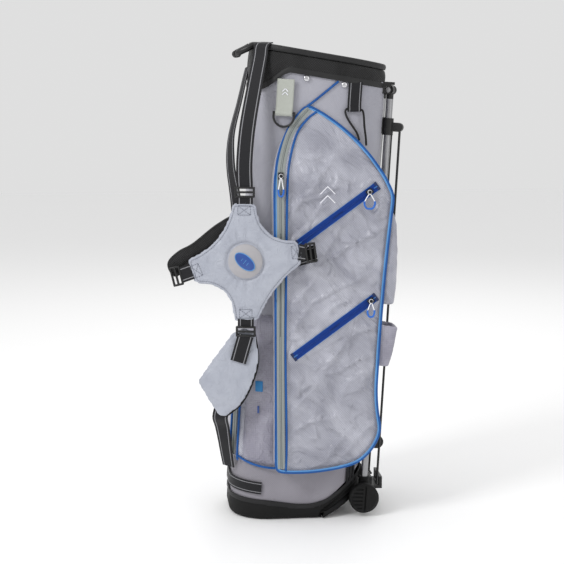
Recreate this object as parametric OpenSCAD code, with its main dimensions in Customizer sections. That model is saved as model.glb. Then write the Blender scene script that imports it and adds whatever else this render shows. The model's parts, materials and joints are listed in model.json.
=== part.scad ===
// Golf stand bag with two folding legs, a flip-up toe and a dual-strap harness.
// "Bag frame": p runs from spine (-) to belly (+), y from near (-) to far (+), s up the bag.
// It leans by `lean` from the floor frame, whose origin is the middle of the flat sole.

/* [Bag body] */
// Lean of the bag towards its belly while it stands on its sole, degrees
lean = 3.5; // [2:0.5:5]
// Half length of the oval body section, spine to belly
body_a = 117; // [98:1:141]
// Half width of the oval body section, near side to far side
body_b = 92; // [80:1:110]
// Corner radius of the oval section
body_r = 75; // [60:1:78]
// Place of the section's centre, spine to belly
body_c = -4; // [-8:1:0]
// Thickness of the body fabric
fabric = 2.5; // [1.5:0.5:4]
// Height of the rim at the section's centre
rim_s = 823; // [760:1:990]
// Slope of the rim, lower at the belly, degrees
rim_slope = 6; // [0:1:9]

/* [Top collar] */
// How far the collar stands outside the body section
collar_grow = 3; // [2:1:8]
// Shift of the collar towards the spine
collar_shift = 5; // [0:1:6]
// Depth of the collar below the rim's lowest point at the belly
collar_depth = 26; // [20:1:40]
// Extra depth of the collar at the spine
collar_drop = 30; // [10:1:40]
// Thickness of the padded collar cover
pad_t = 5; // [3:1:8]
// Wall of the moulded collar ring
ring_t = 5; // [3:1:8]
// Height of the rim binding
binding_h = 10; // [6:1:14]
// Thickness of the divider panels
divider_t = 2; // [1.5:0.5:4]

/* [Base] */
// Distance of the sole's crease from the middle of the sole
crease_x = 42; // [30:1:55]
// Slope of the toe above the floor, degrees
toe_slope = 28; // [20:1:30]
// Thickness of the toe plate
toe_t = 9; // [6:1:12]
// How far the toe flips up, degrees
toe_flip = 12; // [8:1:14]
// Thickness of the boot's floor
floor_t = 6; // [4:1:10]
// Thickness of the boot's wall
boot_t = 2; // [2:0.5:4]
// Height of the boot at the spine
boot_h = 42; // [34:1:60]

/* [Main pocket] */
// Distance of the pocket's flat front from the middle of the bag
front_y = 130; // [115:1:156]
// How far the pocket's pointed top stays below the rim
pocket_drop = 80; // [70:1:140]
// Height of the pocket's bottom
pocket_low = 95; // [80:1:140]
// Length of the pocket's tapered top
taper = 118; // [100:1:120]
// Diameter of the piping
piping_d = 4; // [3:0.5:6]
// Width of a zip's tape
zip_w = 14; // [10:1:18]

/* [Legs] */
// Diameter of a leg tube
leg_d = 12.7; // [10.5:0.1:15.3]
// Wall of a leg tube
leg_wall = 1.1; // [0.8:0.1:2]
// Height of a folded foot's middle
foot_s = 41.5; // [38:0.5:48]
// Splay of each leg's hinge away from the belly, degrees
splay = 27; // [20:1:32]
// How far the leg hinge sits below the rim's centre
hinge_drop = 46; // [42:1:60]
// Distance of the hinge pin outside the belly
hinge_out = 9; // [8:1:14]
// Half distance between the two leg hinges
hinge_y = 36; // [32:1:40]
// Half distance between the two feet when folded
foot_y = 64; // [62:1:70]
// Diameter of a foot
foot_d = 54; // [44:1:58]
// Radius of the hinge pins
pin_r = 3; // [2.5:0.1:3.6]
// Running clearance on the pins, on the radius
run_gap = 0.05; // [0.02:0.01:0.1]
// Distance from the hinge pin down to the rod's pivot
knob_drop = 65; // [55:1:80]
// Distance of the rod's pivot outside the leg
knob_out = 20; // [18:1:24]
// Diameter of a push rod
rod_d = 4.3; // [3:0.1:5]

/* [Harness] */
// Thickness of the star pad
star_t = 12; // [8:1:16]
// Width of the harness webbing
web_w = 28; // [20:1:34]
// Thickness of the webbing
web_t = 2; // [1.5:0.5:3]
// Diameter of the raised disc on the star pad
disc_d = 60; // [50:1:66]

/* [Hidden] */
$fn = 48;
big = 2000;
gap = 0.3;
spine = body_c - body_a;
belly = body_c + body_a;
rim_low = rim_s - (belly - body_c) * tan(rim_slope);
collar_low = rim_low - collar_depth;
collar_spine_low = collar_low - collar_drop;
collar_split = spine + 46;
collar_c = body_c - collar_shift;
toe_front = belly + 5;
toe_clear = toe_slope + toe_flip;
toe_lift = toe_t / cos(toe_clear) + 3;
hinge_s = rim_s - hinge_drop;
hinge_p = belly + hinge_out;
hinge_at = [hinge_p, -hinge_y, hinge_s];
foot_at = [hinge_p - 3, -foot_y, foot_s];
leg_dir = (foot_at - hinge_at) / norm(foot_at - hinge_at);
out_dir = [cos(splay), -sin(splay), 0];
pin_dir = [sin(splay), cos(splay), 0];
barrel_l = leg_d + 0.6;
ear_in = barrel_l / 2 + gap;
ear_t = 4;
ear_r = 8.6;
barrel_r = 8;
pin_head_r = pin_r + 2;
pin_head_t = 2;
neck_l = 16;
knob_r = 2.5;
knob_at = hinge_at + knob_drop * leg_dir + knob_out * out_dir + 8.5 * pin_dir;
rod_end = [belly + 34, knob_at[1] - 4, 58];
rod_turn = 24;
channel_gap = 7;
clip_s = 126;
frame_t = 4;
pocket_top = rim_s - pocket_drop;
front_p = belly + 4;
taper_low = pocket_top - taper;
taper_high = pocket_top - 38;
patch_y = body_b + 2.5;
bottle_low = 297;
bottle_high = 379;
upper_zip = [[-37, pocket_top - 239], [93, pocket_top - 132]];
lower_zip = [[-32, pocket_top - 438], [104, pocket_top - 326]];
side_zip = [[-75, pocket_top - 123], [-43, pocket_low + 17]];
zip_slope = atan2(upper_zip[1][1] - upper_zip[0][1], upper_zip[1][0] - upper_zip[0][0]);
upper_rest = upper_zip[1] - 16 * [cos(zip_slope), sin(zip_slope)];
lower_rest = lower_zip[1] - 10 * [cos(zip_slope), sin(zip_slope)];
ball_rest = 235;
ball_face = [[spine - 10, -40], [spine + 9, -72]];
ball_low = 100;
ball_high = 290;
star_turn = 12;
star_at = [spine + 23, -front_y - 2, rim_s - 346];
ring_at = [spine + 50, -body_b, rim_s - 96];
ring_turn = 15;
umbrella_p = 50;
umbrella_s = rim_s - 83;
umbrella_y = body_b + 4.6;
elastic_r = 2;
post_r = 1.6;

// ---------- shared shapes ----------

// The bag frame inside the floor frame.
module leaned() {
    rotate([0, lean, 0]) children();
}

// Points of a shallow arc from a to b; b itself is left out. A positive bulge lies to the left.
function arc(a, b, bulge, n = 6) =
    let (d = b - a, l = norm(d), side = [-d[1], d[0]] / l)
    [for (i = [0 : n - 1]) let (t = i / n) a + d * t + side * 4 * bulge * t * (1 - t)];

// Rounded rectangle with its middle at the section's centre.
module oval(grow = 0, centre = body_c) {
    a = body_a + grow;
    b = body_b + grow;
    r = body_r + grow;
    translate([centre, 0]) {
        square([2 * a, 2 * (b - r)], center = true);
        square([2 * (a - r), 2 * b], center = true);
        for (i = [-1, 1], j = [-1, 1]) translate([i * (a - r), j * (b - r)]) circle(r = r, $fn = 64);
    }
}

// Upright oval prism of the bag between two heights.
module column(grow, low, high, centre = body_c) {
    translate([0, 0, low]) linear_extrude(high - low) oval(grow, centre);
}

// Cylinder between two points.
module bar(from, to, r) {
    v = to - from;
    translate(from) rotate([0, acos(v[2] / norm(v)), atan2(v[1], v[0])])
        cylinder(r = r, h = norm(v));
}

// Everything above the sloping rim plane.
module above_rim(lift = 0) {
    translate([body_c, 0, rim_s + lift]) rotate([0, rim_slope, 0])
        translate([0, 0, big / 2]) cube(big, center = true);
}

// A profile in the floor frame's X and Z, run right across the bag.
module across(half = 300) {
    rotate([90, 0, 0]) translate([0, 0, -half]) linear_extrude(2 * half) children();
}

// Height of the line that stays clear over the flipped toe, at a distance x from the middle.
function clear_z(x, lift = 0) = toe_lift + lift + (x - crease_x) * tan(toe_clear);

// The space that the toe sweeps, with the open ground below it.
module toe_space() {
    across() polygon([[crease_x + gap, -1], [crease_x + gap, clear_z(crease_x)], [300, clear_z(300)],
        [300, -1]]);
}

// Everything under the bottom frame, or under a line lifted above its lower face.
module under_frame(lift) {
    across() polygon([[-300, -50], [-300, floor_t + lift], [crease_x - 10, floor_t + lift],
        [crease_x - 1, toe_lift + 1 + lift], [300, clear_z(300, 1 + lift)], [300, -50]]);
}

// A flat front-facing outline, from one depth to another on the near side.
module facing(shallow, deep) {
    translate([0, -shallow, 0]) rotate([90, 0, 0]) linear_extrude(deep - shallow) children();
}

// ---------- base ----------

module base_cup() {
    color([0.09, 0.09, 0.1]) difference() {
        intersection() {
            leaned() column(boot_t + 0.2, -30, 120);
            across() polygon([[spine + 14, 0], [300, 0], [300, 200], [toe_front, 84],
                [crease_x + 3, 36], [14, 28], [-60, boot_h - 4], [spine - 9, boot_h], [spine - 9, 34],
                [spine - 3, 26]]);
        }
        leaned() intersection() {
            column(gap / 2, -60, 200);
            rotate([0, -lean, 0]) translate([-big / 2, -big / 2, floor_t]) cube(big);
        }
        toe_space();
    }
}

module bottom_frame() {
    color([0.12, 0.12, 0.13]) intersection() {
        leaned() column(-fabric - gap, -30, 200);
        difference() {
            under_frame(frame_t);
            under_frame(0);
        }
    }
}

module toe_plate() {
    rise = tan(toe_slope);
    color([0.09, 0.09, 0.1]) intersection() {
        leaned() column(boot_t + 0.2, -30, 200);
        across() polygon([[crease_x + 0.6, 0.6 * rise], [300, (300 - crease_x) * rise],
            [300, (300 - crease_x) * rise + toe_t / cos(toe_slope)],
            [crease_x + 3, toe_t / cos(toe_slope) + 3 * rise]]);
    }
}

// Channel on the toe that the rods' turned ends rest in. The rods are free in it by channel_gap.
module rod_bracket() {
    x = rod_end[0] * cos(lean) + rod_end[2] * sin(lean);
    z = rod_end[2] * cos(lean) - rod_end[0] * sin(lean);
    wall = 5;
    low = z - channel_gap - rod_d / 2;
    out = channel_gap + wall;
    start = toe_front - 4;
    color([0.1, 0.1, 0.11]) difference() {
        across(32) polygon([[start, low - 3], [start, low - wall - 5], [x - out + 6, low - wall],
            [x + out, low - wall], [x + out, z + 8], [x + channel_gap, z + 8], [x + channel_gap, low],
            [x - channel_gap, low], [x - channel_gap, z + 8], [x - out, z + 8], [x - out, low]]);
        leaned() column(boot_t + 0.3, -30, 200);
    }
}

module toe_gusset() {
    color([0.13, 0.13, 0.14]) difference() {
        intersection() {
            leaned() column(0, -30, 200);
            across() polygon([[crease_x + 8, toe_t / cos(toe_slope) + 8 * tan(toe_slope) + gap],
                [300, (300 - crease_x) * tan(toe_slope) + toe_t / cos(toe_slope) + gap],
                [300, clear_z(300, -gap)], [crease_x + 8, clear_z(crease_x + 8, -gap)]]);
        }
        leaned() column(-fabric, -30, 200);
    }
}

// ---------- body ----------

module body_shell() {
    color([0.72, 0.72, 0.74]) difference() {
        leaned() difference() {
            column(0, -30, collar_low);
            column(-fabric, -60, big);
            translate([-big + collar_split, -big / 2, collar_spine_low]) cube(big);
        }
        translate([-big / 2, -big / 2, floor_t - big]) cube(big);
        toe_space();
    }
}

module spine_stay() {
    stay_w = 20;
    stay_t = 4;
    color([0.15, 0.15, 0.16]) leaned()
        translate([spine + fabric + gap, -stay_w / 2, 18])
            cube([stay_t, stay_w, collar_spine_low - 18]);
}

module side_stays() {
    stay_r = 3;
    color([0.75, 0.76, 0.78]) leaned()
        for (side = [-1, 1])
            translate([body_c, side * (body_b - fabric - gap - stay_r), 14])
                cylinder(r = stay_r, h = collar_low - 14);
}

// ---------- top ----------

module collar_band(grow, wall, low, spine_low, lift = 0) {
    difference() {
        union() {
            column(grow, low, rim_s + 60, collar_c);
            intersection() {
                column(grow, spine_low, rim_s, collar_c);
                translate([-big + collar_split, -big / 2, 0]) cube(big);
            }
        }
        column(grow - wall, 0, big, collar_c);
        above_rim(lift);
    }
}

module top_collar() {
    color([0.13, 0.13, 0.14]) leaned()
        collar_band(collar_grow - pad_t - gap, ring_t, collar_low + gap, collar_low + gap);
}

module collar_padding() {
    color([0.16, 0.16, 0.17]) leaned()
        collar_band(collar_grow, pad_t, collar_low + gap, collar_spine_low + gap);
}

module rim_binding() {
    color([0.07, 0.07, 0.08]) leaned() difference() {
        collar_band(collar_grow + 1, pad_t + ring_t + 2, rim_low, rim_low, binding_h);
        difference() {
            translate([-big / 2, -big / 2, 0]) cube(big);
            above_rim(0.1);
        }
    }
}

module top_divider() {
    bar_w = 7;
    bar_h = 20;
    inner = collar_grow - pad_t - ring_t - 2 * gap;
    color([0.1, 0.1, 0.11]) leaned() difference() {
        intersection() {
            column(inner, collar_low, rim_s + 60, collar_c);
            union() {
                translate([-big / 2, -bar_w / 2, 0]) cube([big, bar_w, big]);
                translate([body_c - bar_w / 2, -big / 2, 0]) cube([bar_w, big, big]);
            }
        }
        above_rim(-2);
        difference() {
            translate([-big / 2, -big / 2, 0]) cube([big, big, rim_s + 60]);
            above_rim(-2 - bar_h);
        }
    }
}

// The room for the divider panels: over the bottom frame and under the top divider.
module panel_room() {
    difference() {
        leaned() difference() {
            column(-fabric - 8, 0, collar_low, body_c);
            above_rim(-25);
        }
        under_frame(frame_t + gap);
    }
}

module divider_long() {
    color([0.2, 0.2, 0.22]) intersection() {
        panel_room();
        translate([-big / 2, -divider_t / 2, -big / 2]) cube([big, divider_t, big]);
    }
}

module divider_cross() {
    color([0.2, 0.2, 0.22]) difference() {
        intersection() {
            panel_room();
            leaned() translate([body_c - divider_t / 2, -big / 2, -big / 2]) cube([divider_t, big, big]);
        }
        translate([-big / 2, -divider_t / 2 - gap, -big / 2]) cube([big, divider_t + 2 * gap, big]);
    }
}

module lift_handle() {
    reach = 24;
    half = 44;
    grip = 10;
    grip_t = 12;
    edge = collar_c - body_a - collar_grow;
    color([0.08, 0.08, 0.09]) leaned() difference() {
        translate([edge - reach, 0, rim_s + 3]) rotate([0, -28, 0]) difference() {
            translate([-grip / 2, -half, 3 - grip_t]) cube([reach + 30, 2 * half, grip_t]);
            translate([grip / 2, -half + grip, -40]) cube([reach + 60, 2 * half - 2 * grip, 80]);
        }
        column(collar_grow + gap, 0, rim_s - 2, collar_c);
        column(collar_grow + 1 + gap, rim_s - 20, big, collar_c);
    }
}

// ---------- leg mechanism ----------

// A leg's own frame at its hinge: X away from the bag, Y along the pin, Z up.
module at_hinge() {
    leaned() translate(hinge_at) rotate([0, 0, -splay]) children();
}

module bracket_half() {
    at_hinge() {
        for (side = [-1, 1])
            translate([0, side * (ear_in + ear_t / 2), 0]) {
                rotate([90, 0, 0]) cylinder(r = ear_r, h = ear_t, center = true);
                translate([-24, -ear_t / 2, -ear_r]) cube([24, ear_t, 2 * ear_r]);
            }
    }
}

module leg_bracket() {
    roof_t = 5;
    roof_low = barrel_r + 1;
    half = hinge_y + 18;
    color([0.1, 0.1, 0.11]) difference() {
        union() {
            bracket_half();
            mirror([0, 1, 0]) bracket_half();
            leaned() translate([belly - 20, -half, hinge_s - ear_r + 1.5])
                cube([18 + hinge_out, 2 * half, ear_r + roof_low + roof_t - 3]);
            leaned() translate([belly - 20, -half, hinge_s + roof_low])
                cube([24 + hinge_out, 2 * half, roof_t]);
        }
        leaned() column(max(gap, collar_grow + 1 - collar_shift), 0, big);
        for (m = [0, 1]) mirror([0, m, 0]) at_hinge() {
            rotate([90, 0, 0]) cylinder(r = pin_r + run_gap, h = 80, center = true);
            for (end = [-1, 1]) translate([0, end * (ear_in + ear_t + 8), 0])
                rotate([90, 0, 0]) cylinder(r = pin_head_r + 0.4, h = 16, center = true);
            translate([-barrel_r - 1, -ear_in, -50]) cube([60, 2 * ear_in, 50 + barrel_r + 0.5]);
        }
    }
}

module leg_pins() {
    half = ear_in + ear_t;
    color([0.7, 0.7, 0.72])
        for (m = [0, 1]) mirror([0, m, 0]) at_hinge() rotate([90, 0, 0]) {
            cylinder(r = pin_r, h = 2 * half, center = true);
            for (end = [-1, 1]) translate([0, 0, end * (half + pin_head_t / 2 + 0.05)])
                cylinder(r = pin_head_r, h = pin_head_t, center = true);
        }
}

module leg_hinge() {
    color([0.1, 0.1, 0.11]) difference() {
        union() {
            at_hinge() rotate([90, 0, 0]) cylinder(r = barrel_r, h = barrel_l, center = true);
            leaned() bar(hinge_at, hinge_at + neck_l * leg_dir, leg_d / 2);
            leaned() bar(hinge_at, hinge_at + (neck_l + 18) * leg_dir, leg_d / 2 - leg_wall - 0.05);
        }
        at_hinge() rotate([90, 0, 0]) cylinder(r = pin_r + run_gap, h = 80, center = true);
    }
}

module leg_tube() {
    color([0.8, 0.81, 0.83]) leaned() difference() {
        bar(hinge_at + neck_l * leg_dir, foot_at, leg_d / 2);
        bar(hinge_at, foot_at + 20 * leg_dir, leg_d / 2 - leg_wall);
    }
}

module leg_clamp() {
    sleeve_l = 30;
    wall = 3.4;
    mid = hinge_at + knob_drop * leg_dir;
    color([0.09, 0.09, 0.1]) difference() {
        union() {
            leaned() bar(mid - sleeve_l / 2 * leg_dir, mid + sleeve_l / 2 * leg_dir, leg_d / 2 + wall);
            leaned() translate(mid) rotate([0, 0, -splay]) {
                translate([6, -3, -8]) cube([knob_out - 6, 8, 16]);
                translate([knob_out, 5, 0]) rotate([90, 0, 0]) cylinder(r = 8, h = 8);
                translate([knob_out, 12.3, 0]) rotate([90, 0, 0]) cylinder(r = knob_r, h = 12);
                translate([knob_out, 14.3, 0]) rotate([90, 0, 0]) cylinder(r = knob_r + 2, h = 2);
            }
        }
        leaned() bar(hinge_at, foot_at, leg_d / 2 + 0.02);
    }
}

module leg_foot() {
    depth = 22;
    sole_y = foot_y + 33;
    rib = 7;
    color([0.07, 0.07, 0.07]) leaned() difference() {
        union() {
            translate([foot_at[0] - 2, -sole_y, foot_at[2]]) rotate([-90, 0, 0])
                rotate_extrude($fn = 64) polygon([[0, 0], [foot_d / 2 - 6, 0], [foot_d / 2, 5],
                    [foot_d / 2, depth - 5], [foot_d / 2 - 5, depth], [0, depth]]);
            bar(foot_at - 34 * leg_dir, foot_at + 22 * leg_dir, leg_d / 2 + 3.5);
            translate([foot_at[0] - 9, -sole_y + depth - 2, foot_at[2] - 20])
                cube([18, 9, 40]);
        }
        bar(hinge_at, foot_at, leg_d / 2 + 0.02);
        for (i = [-3 : 2]) translate([foot_at[0] - 2 - foot_d, -sole_y - 1, foot_at[2] + (i + 0.3) * rib])
            cube([foot_d - 3, 3, 3]);
        translate([foot_at[0] - 2, -sole_y - 1, foot_at[2] - foot_d]) cube([3, 4, 2 * foot_d]);
    }
}

module leg_rod() {
    color([0.1, 0.1, 0.11]) leaned() difference() {
        union() {
            bar(knob_at + [0, 0, -3.5], rod_end + [0, 0, -rod_d / 2], rod_d / 2);
            bar(rod_end, rod_end + [0, rod_turn, 0], rod_d / 2 - 0.2);
            translate(knob_at) rotate([0, 0, -splay]) rotate([90, 0, 0])
                cylinder(r = knob_r + 2.2, h = 5, center = true);
        }
        translate(knob_at) rotate([0, 0, -splay]) rotate([90, 0, 0])
            cylinder(r = knob_r + run_gap, h = 30, center = true);
    }
}

module leg_clip() {
    nose = 36;
    half = 8;
    color([0.08, 0.08, 0.09]) leaned() difference() {
        union() {
            translate([belly - 8, -28, clip_s - 16]) cube([12, 56, 32]);
            translate([belly, -half, clip_s - 12]) cube([nose, 2 * half, 24]);
            translate([belly + nose, half, clip_s]) rotate([90, 0, 0]) cylinder(r = 12, h = 2 * half);
        }
        column(gap, 0, big);
    }
}

// ---------- pockets ----------

function pocket_outline(grow = 0) =
    let (top = [-33, pocket_top + grow], shoulder = [front_p + 7 + grow, pocket_top - 146],
        flank = [front_p + grow, pocket_low + 185], hip = [front_p + 13 + grow, pocket_low + 87],
        heel = [belly - 24, pocket_low + 22 - grow], foot = [-51 - grow, pocket_low + 2 - grow],
        side = [-83 - grow, pocket_top - 157])
    concat(arc(foot, heel, -7), arc(heel, hip, -9), arc(hip, flank, 4), arc(flank, shoulder, 3),
        arc(shoulder, top, -20), arc(top, side, -18), arc(side, foot, 1));

// Layer that follows the pocket's front, from `inner` to `outer` in front of it. The front runs
// flat up to the taper, leans back to the body over the taper and lies on it above.
module front_layer(inner, outer) {
    rotate([90, 0, 90]) translate([0, 0, -300]) linear_extrude(600)
        polygon([[-front_y - outer, 0], [-front_y - outer, taper_low], [-patch_y - outer, taper_high],
            [-patch_y - outer, big], [-patch_y - inner, big], [-patch_y - inner, taper_high],
            [-front_y - inner, taper_low], [-front_y - inner, 0]]);
}

module main_pocket() {
    color([0.75, 0.75, 0.78]) leaned() difference() {
        intersection() {
            facing(30, front_y) polygon(pocket_outline());
            front_layer(-200, 0);
        }
        column(gap, 0, big);
        translate([belly - 22, -body_b + 12, 0]) cube(big);
    }
}

module pocket_piping() {
    color([0.16, 0.36, 0.72]) leaned() intersection() {
        facing(0, front_y + piping_d) difference() {
            polygon(pocket_outline(piping_d + 0.2));
            polygon(pocket_outline(0.2));
        }
        front_layer(0.1 - piping_d / 2, piping_d / 2);
    }
}

// Pocket behind the main pocket's belly edge.
module side_pocket() {
    color([0.7, 0.7, 0.72]) leaned() difference() {
        facing(foot_y + 8, front_y - 12) polygon(concat(
            [[60, bottle_high + 23]],
            arc([belly + 28, bottle_high + 23], [belly + 20, pocket_top - 183], -5),
            arc([belly + 20, pocket_top - 183], [60, pocket_top - 133], -8)));
        column(gap, 0, big);
        minus_main_pocket();
    }
}

module minus_main_pocket() {
    facing(0, front_y + 10) polygon(pocket_outline(gap));
}

module bottle_pocket() {
    wall = 3;
    color([0.75, 0.75, 0.77]) leaned() difference() {
        facing(foot_y + 14, front_y - 4) polygon(concat([[60, bottle_low]],
            arc([belly + 24, bottle_low - 4], [belly + 37, bottle_high], -2), [[60, bottle_high]]));
        facing(foot_y + 14 + wall, front_y - 4 - wall) polygon([[belly + 8, bottle_low + 6],
            [belly + 20, bottle_low + 4], [belly + 33, bottle_high + 1], [belly + 8, bottle_high + 1]]);
        column(gap, 0, big);
        minus_main_pocket();
    }
}

module far_pocket() {
    color([0.75, 0.75, 0.78]) leaned() mirror([0, 1, 0]) difference() {
        facing(40, front_y - 8) polygon(concat(arc([-60, 120], [92, 120], -8),
            arc([92, 120], [92, pocket_top - 183], -4),
            arc([92, pocket_top - 183], [-20, pocket_top - 53], -22),
            arc([-20, pocket_top - 53], [-74, pocket_top - 143], -8),
            arc([-74, pocket_top - 143], [-60, 120], 2)));
        column(gap, 0, big);
    }
}

module ball_pocket() {
    color([0.73, 0.73, 0.76]) leaned() difference() {
        translate([0, 0, ball_low]) linear_extrude(ball_high - ball_low)
            polygon([[-60, -70], ball_face[1], ball_face[0], [spine - 10, 44], [spine + 9, 72], [-60, 70]]);
        column(gap, 0, big);
    }
}

module accessory_pocket() {
    color([0.68, 0.68, 0.71]) leaned() difference() {
        intersection() {
            column(9, 98, 335);
            translate([-big - 58, -200, 0]) cube([big, 200, big]);
        }
        column(gap, 0, big);
        translate([-big, ball_face[1][1] - gap, 0]) cube([2 * big, big, big]);
        minus_main_pocket();
    }
}

// ---------- zips ----------

// Tape along a line on a front-facing surface, at depth y.
module front_tape(line, y, w) {
    v = line[1] - line[0];
    translate([line[0][0], -y, line[0][1]]) rotate([0, -atan2(v[1], v[0]), 0])
        translate([0, -1.2, -w / 2]) cube([norm(v), 1.2, w]);
}

module upper_zip_tape() {
    color([0.12, 0.28, 0.62]) leaned() front_tape(upper_zip, front_y + gap, zip_w);
}

module lower_zip_tape() {
    color([0.12, 0.28, 0.62]) leaned() front_tape(lower_zip, front_y + gap, zip_w);
}

module side_zip_tape() {
    color([0.6, 0.62, 0.63]) leaned() front_tape(side_zip, front_y + gap, zip_w - 4);
}

// Frame on the sloping face of the ball pocket: X out of the face, Z up.
module on_ball_face(s) {
    mid = (ball_face[0] + ball_face[1]) / 2;
    v = ball_face[0] - ball_face[1];
    leaned() translate([mid[0], mid[1], s]) rotate([0, 0, atan2(v[0], -v[1])]) children();
}

module ball_zip_tape() {
    color([0.6, 0.62, 0.63]) on_ball_face(ball_low + 10)
        translate([gap, -(zip_w - 4) / 2, 0]) cube([1.2, zip_w - 4, ball_high - ball_low - 40]);
}

// A slider's body, with X along the zip and Z out of the face. Its pull swivels on the round post.
module slider_shape() {
    translate([-6, -4.5, 0]) cube([12, 9, 3]);
    cylinder(r = post_r, h = 5.4);
    translate([0, 0, 5.2]) cylinder(r = post_r + 1.4, h = 1.2);
}

// A pull: an eye round the slider's post, a short loop and a shaped tip that hang down along -X.
module pull_shape(loop_w, loop_l, tip_w, tip_l) {
    eye_r = post_r + 2.2;
    strand = 1.6;
    translate([0, 0, 3.4]) {
        difference() {
            union() {
                cylinder(r = eye_r, h = 1.4);
                translate([-loop_l, -loop_w / 2, 0]) cube([loop_l, loop_w, 1.4]);
            }
            translate([0, 0, -1]) cylinder(r = post_r + 0.2, h = 4);
            translate([-loop_l + strand, -loop_w / 2 + strand, -1])
                cube([loop_l - strand - eye_r, loop_w - 2 * strand, 4]);
        }
        translate([-loop_l - tip_l, -tip_w / 2, -0.8]) cube([tip_l - 0.1, tip_w, 3]);
    }
}

// Frame of a slider on a front-facing zip: X along the zip, Z out of the face.
module front_slider_at(at, turn) {
    leaned() translate([at[0], -front_y - gap - 1.2 - 0.3, at[1]]) rotate([90, 0, 0])
        rotate([0, 0, turn]) children();
}

module upper_slider() {
    color([0.12, 0.3, 0.66]) front_slider_at(upper_rest, zip_slope) slider_shape();
}

module upper_pull() {
    color([0.9, 0.9, 0.92]) front_slider_at(upper_rest, 90 + lean) pull_shape(9, 16, 14, 14);
}

module lower_slider() {
    color([0.12, 0.3, 0.66]) front_slider_at(lower_rest, zip_slope) slider_shape();
}

module lower_pull() {
    color([0.9, 0.9, 0.92]) front_slider_at(lower_rest, 90 + lean) pull_shape(9, 16, 12, 13);
}

module side_slider() {
    color([0.12, 0.3, 0.66]) front_slider_at(side_zip[0], 90 + lean) slider_shape();
}

module side_pull() {
    color([0.9, 0.9, 0.92]) front_slider_at(side_zip[0], 90 + lean) pull_shape(7, 24, 10, 12);
}

module ball_slider() {
    color([0.12, 0.3, 0.66]) on_ball_face(ball_rest) translate([gap + 1.5, 0, 0]) rotate([0, 90, 0])
        rotate([0, 0, 180]) slider_shape();
}

module ball_pull() {
    color([0.9, 0.9, 0.92]) on_ball_face(ball_rest) translate([gap + 1.5, 0, 0]) rotate([0, 90, 0])
        rotate([0, 0, 180]) pull_shape(7, 20, 10, 12);
}

// ---------- small fittings ----------

// Frame at the D-ring's pivot: X sideways, Y into the bag, Z up.
module at_ring() {
    leaned() translate(ring_at) rotate([0, 0, -ring_turn]) children();
}

module ring_tab() {
    tab_w = 30;
    color([0.5, 0.52, 0.5]) difference() {
        at_ring() {
            translate([-tab_w / 2, -2, 8]) cube([tab_w, 2, 58]);
            translate([-tab_w / 2, -5, 0]) rotate([0, 90, 0]) difference() {
                cylinder(r = 5, h = tab_w);
                translate([0, 0, -1]) cylinder(r = 3, h = tab_w + 2);
            }
            translate([-tab_w / 2, -2, 0]) cube([tab_w, 2, 9]);
        }
        leaned() {
            column(gap, 0, big);
            column(collar_grow + gap, collar_low, big, collar_c);
            intersection() {
                column(collar_grow + gap, collar_spine_low, big, collar_c);
                translate([-big + collar_split + gap, -big / 2, 0]) cube(big);
            }
        }
        at_ring() translate([-tab_w / 2 - 1, -5, 0]) rotate([0, 90, 0]) cylinder(r = 3, h = tab_w + 2);
    }
}

module d_ring() {
    wire = 2;
    half = 18;
    color([0.07, 0.07, 0.08]) at_ring() translate([0, -5, 0]) {
        translate([-half, 0, 0]) rotate([0, 90, 0]) cylinder(r = wire - 0.2, h = 2 * half);
        for (side = [-1, 1]) translate([side * half, 0, -6]) cylinder(r = wire, h = 6 + wire);
        difference() {
            translate([0, 0, -6]) rotate([90, 0, 0]) rotate_extrude() translate([half, 0]) circle(r = wire);
            translate([-100, -100, -6]) cube(200);
        }
    }
}

module umbrella_tab() {
    tab_w = 24;
    color([0.08, 0.08, 0.09]) leaned() difference() {
        translate([umbrella_p - tab_w / 2, -body_b - 4, umbrella_s - 3]) cube([tab_w, 6, 44]);
        column(gap, 0, big);
        translate([umbrella_p - tab_w, -umbrella_y, umbrella_s]) rotate([0, 90, 0])
            cylinder(r = elastic_r + 0.1, h = 2 * tab_w);
    }
}

// Elastic loop through the tab, held at its lower ends behind the main pocket's top edge.
module umbrella_cord() {
    half = 17;
    left = [umbrella_p - half, -umbrella_y, umbrella_s];
    right = [umbrella_p + half, -umbrella_y, umbrella_s];
    color([0.07, 0.07, 0.08]) leaned() {
        bar(left, right, elastic_r - 0.2);
        bar(left + [0, 0, elastic_r], [umbrella_p + 4, -umbrella_y, umbrella_s - 36], elastic_r);
        bar(right + [0, 0, elastic_r], [umbrella_p + 20, -umbrella_y, umbrella_s - 40], elastic_r);
    }
}

module snap_studs() {
    color([0.8, 0.8, 0.82]) leaned() {
        for (p = [-36, 30]) translate([p, -body_b - collar_grow - gap, rim_s - 31])
            rotate([90, 0, 0]) cylinder(r = 6, h = 2.5);
    }
}

// Lifting handle round the foot of the bag and the upright tape at the toe.
module base_webbing() {
    t = 3;
    color([0.08, 0.08, 0.09]) difference() {
        leaned() intersection() {
            difference() {
                column(boot_t + 0.2 + gap + t, 44, 66);
                column(boot_t + 0.2 + gap, 0, 200);
            }
            translate([-big - 70, -200, 0]) cube([big, 400, 200]);
        }
    }
    color([0.08, 0.08, 0.09]) leaned() difference() {
        intersection() {
            column(boot_t + 0.2 + gap + 2, 84, 97 - gap);
            translate([60, -200, 0]) cube([26, 200, 200]);
        }
        column(boot_t + 0.2 + gap, 0, 200);
    }
}

// ---------- harness ----------

// Frame of the harness: X to the belly, Y towards the bag, Z up.
module at_star() {
    translate(star_at) rotate([0, 0, -star_turn]) children();
}

module star_sheet(from, to) {
    translate([0, to, 0]) rotate([90, 0, 0]) linear_extrude(to - from) children();
}

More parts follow.
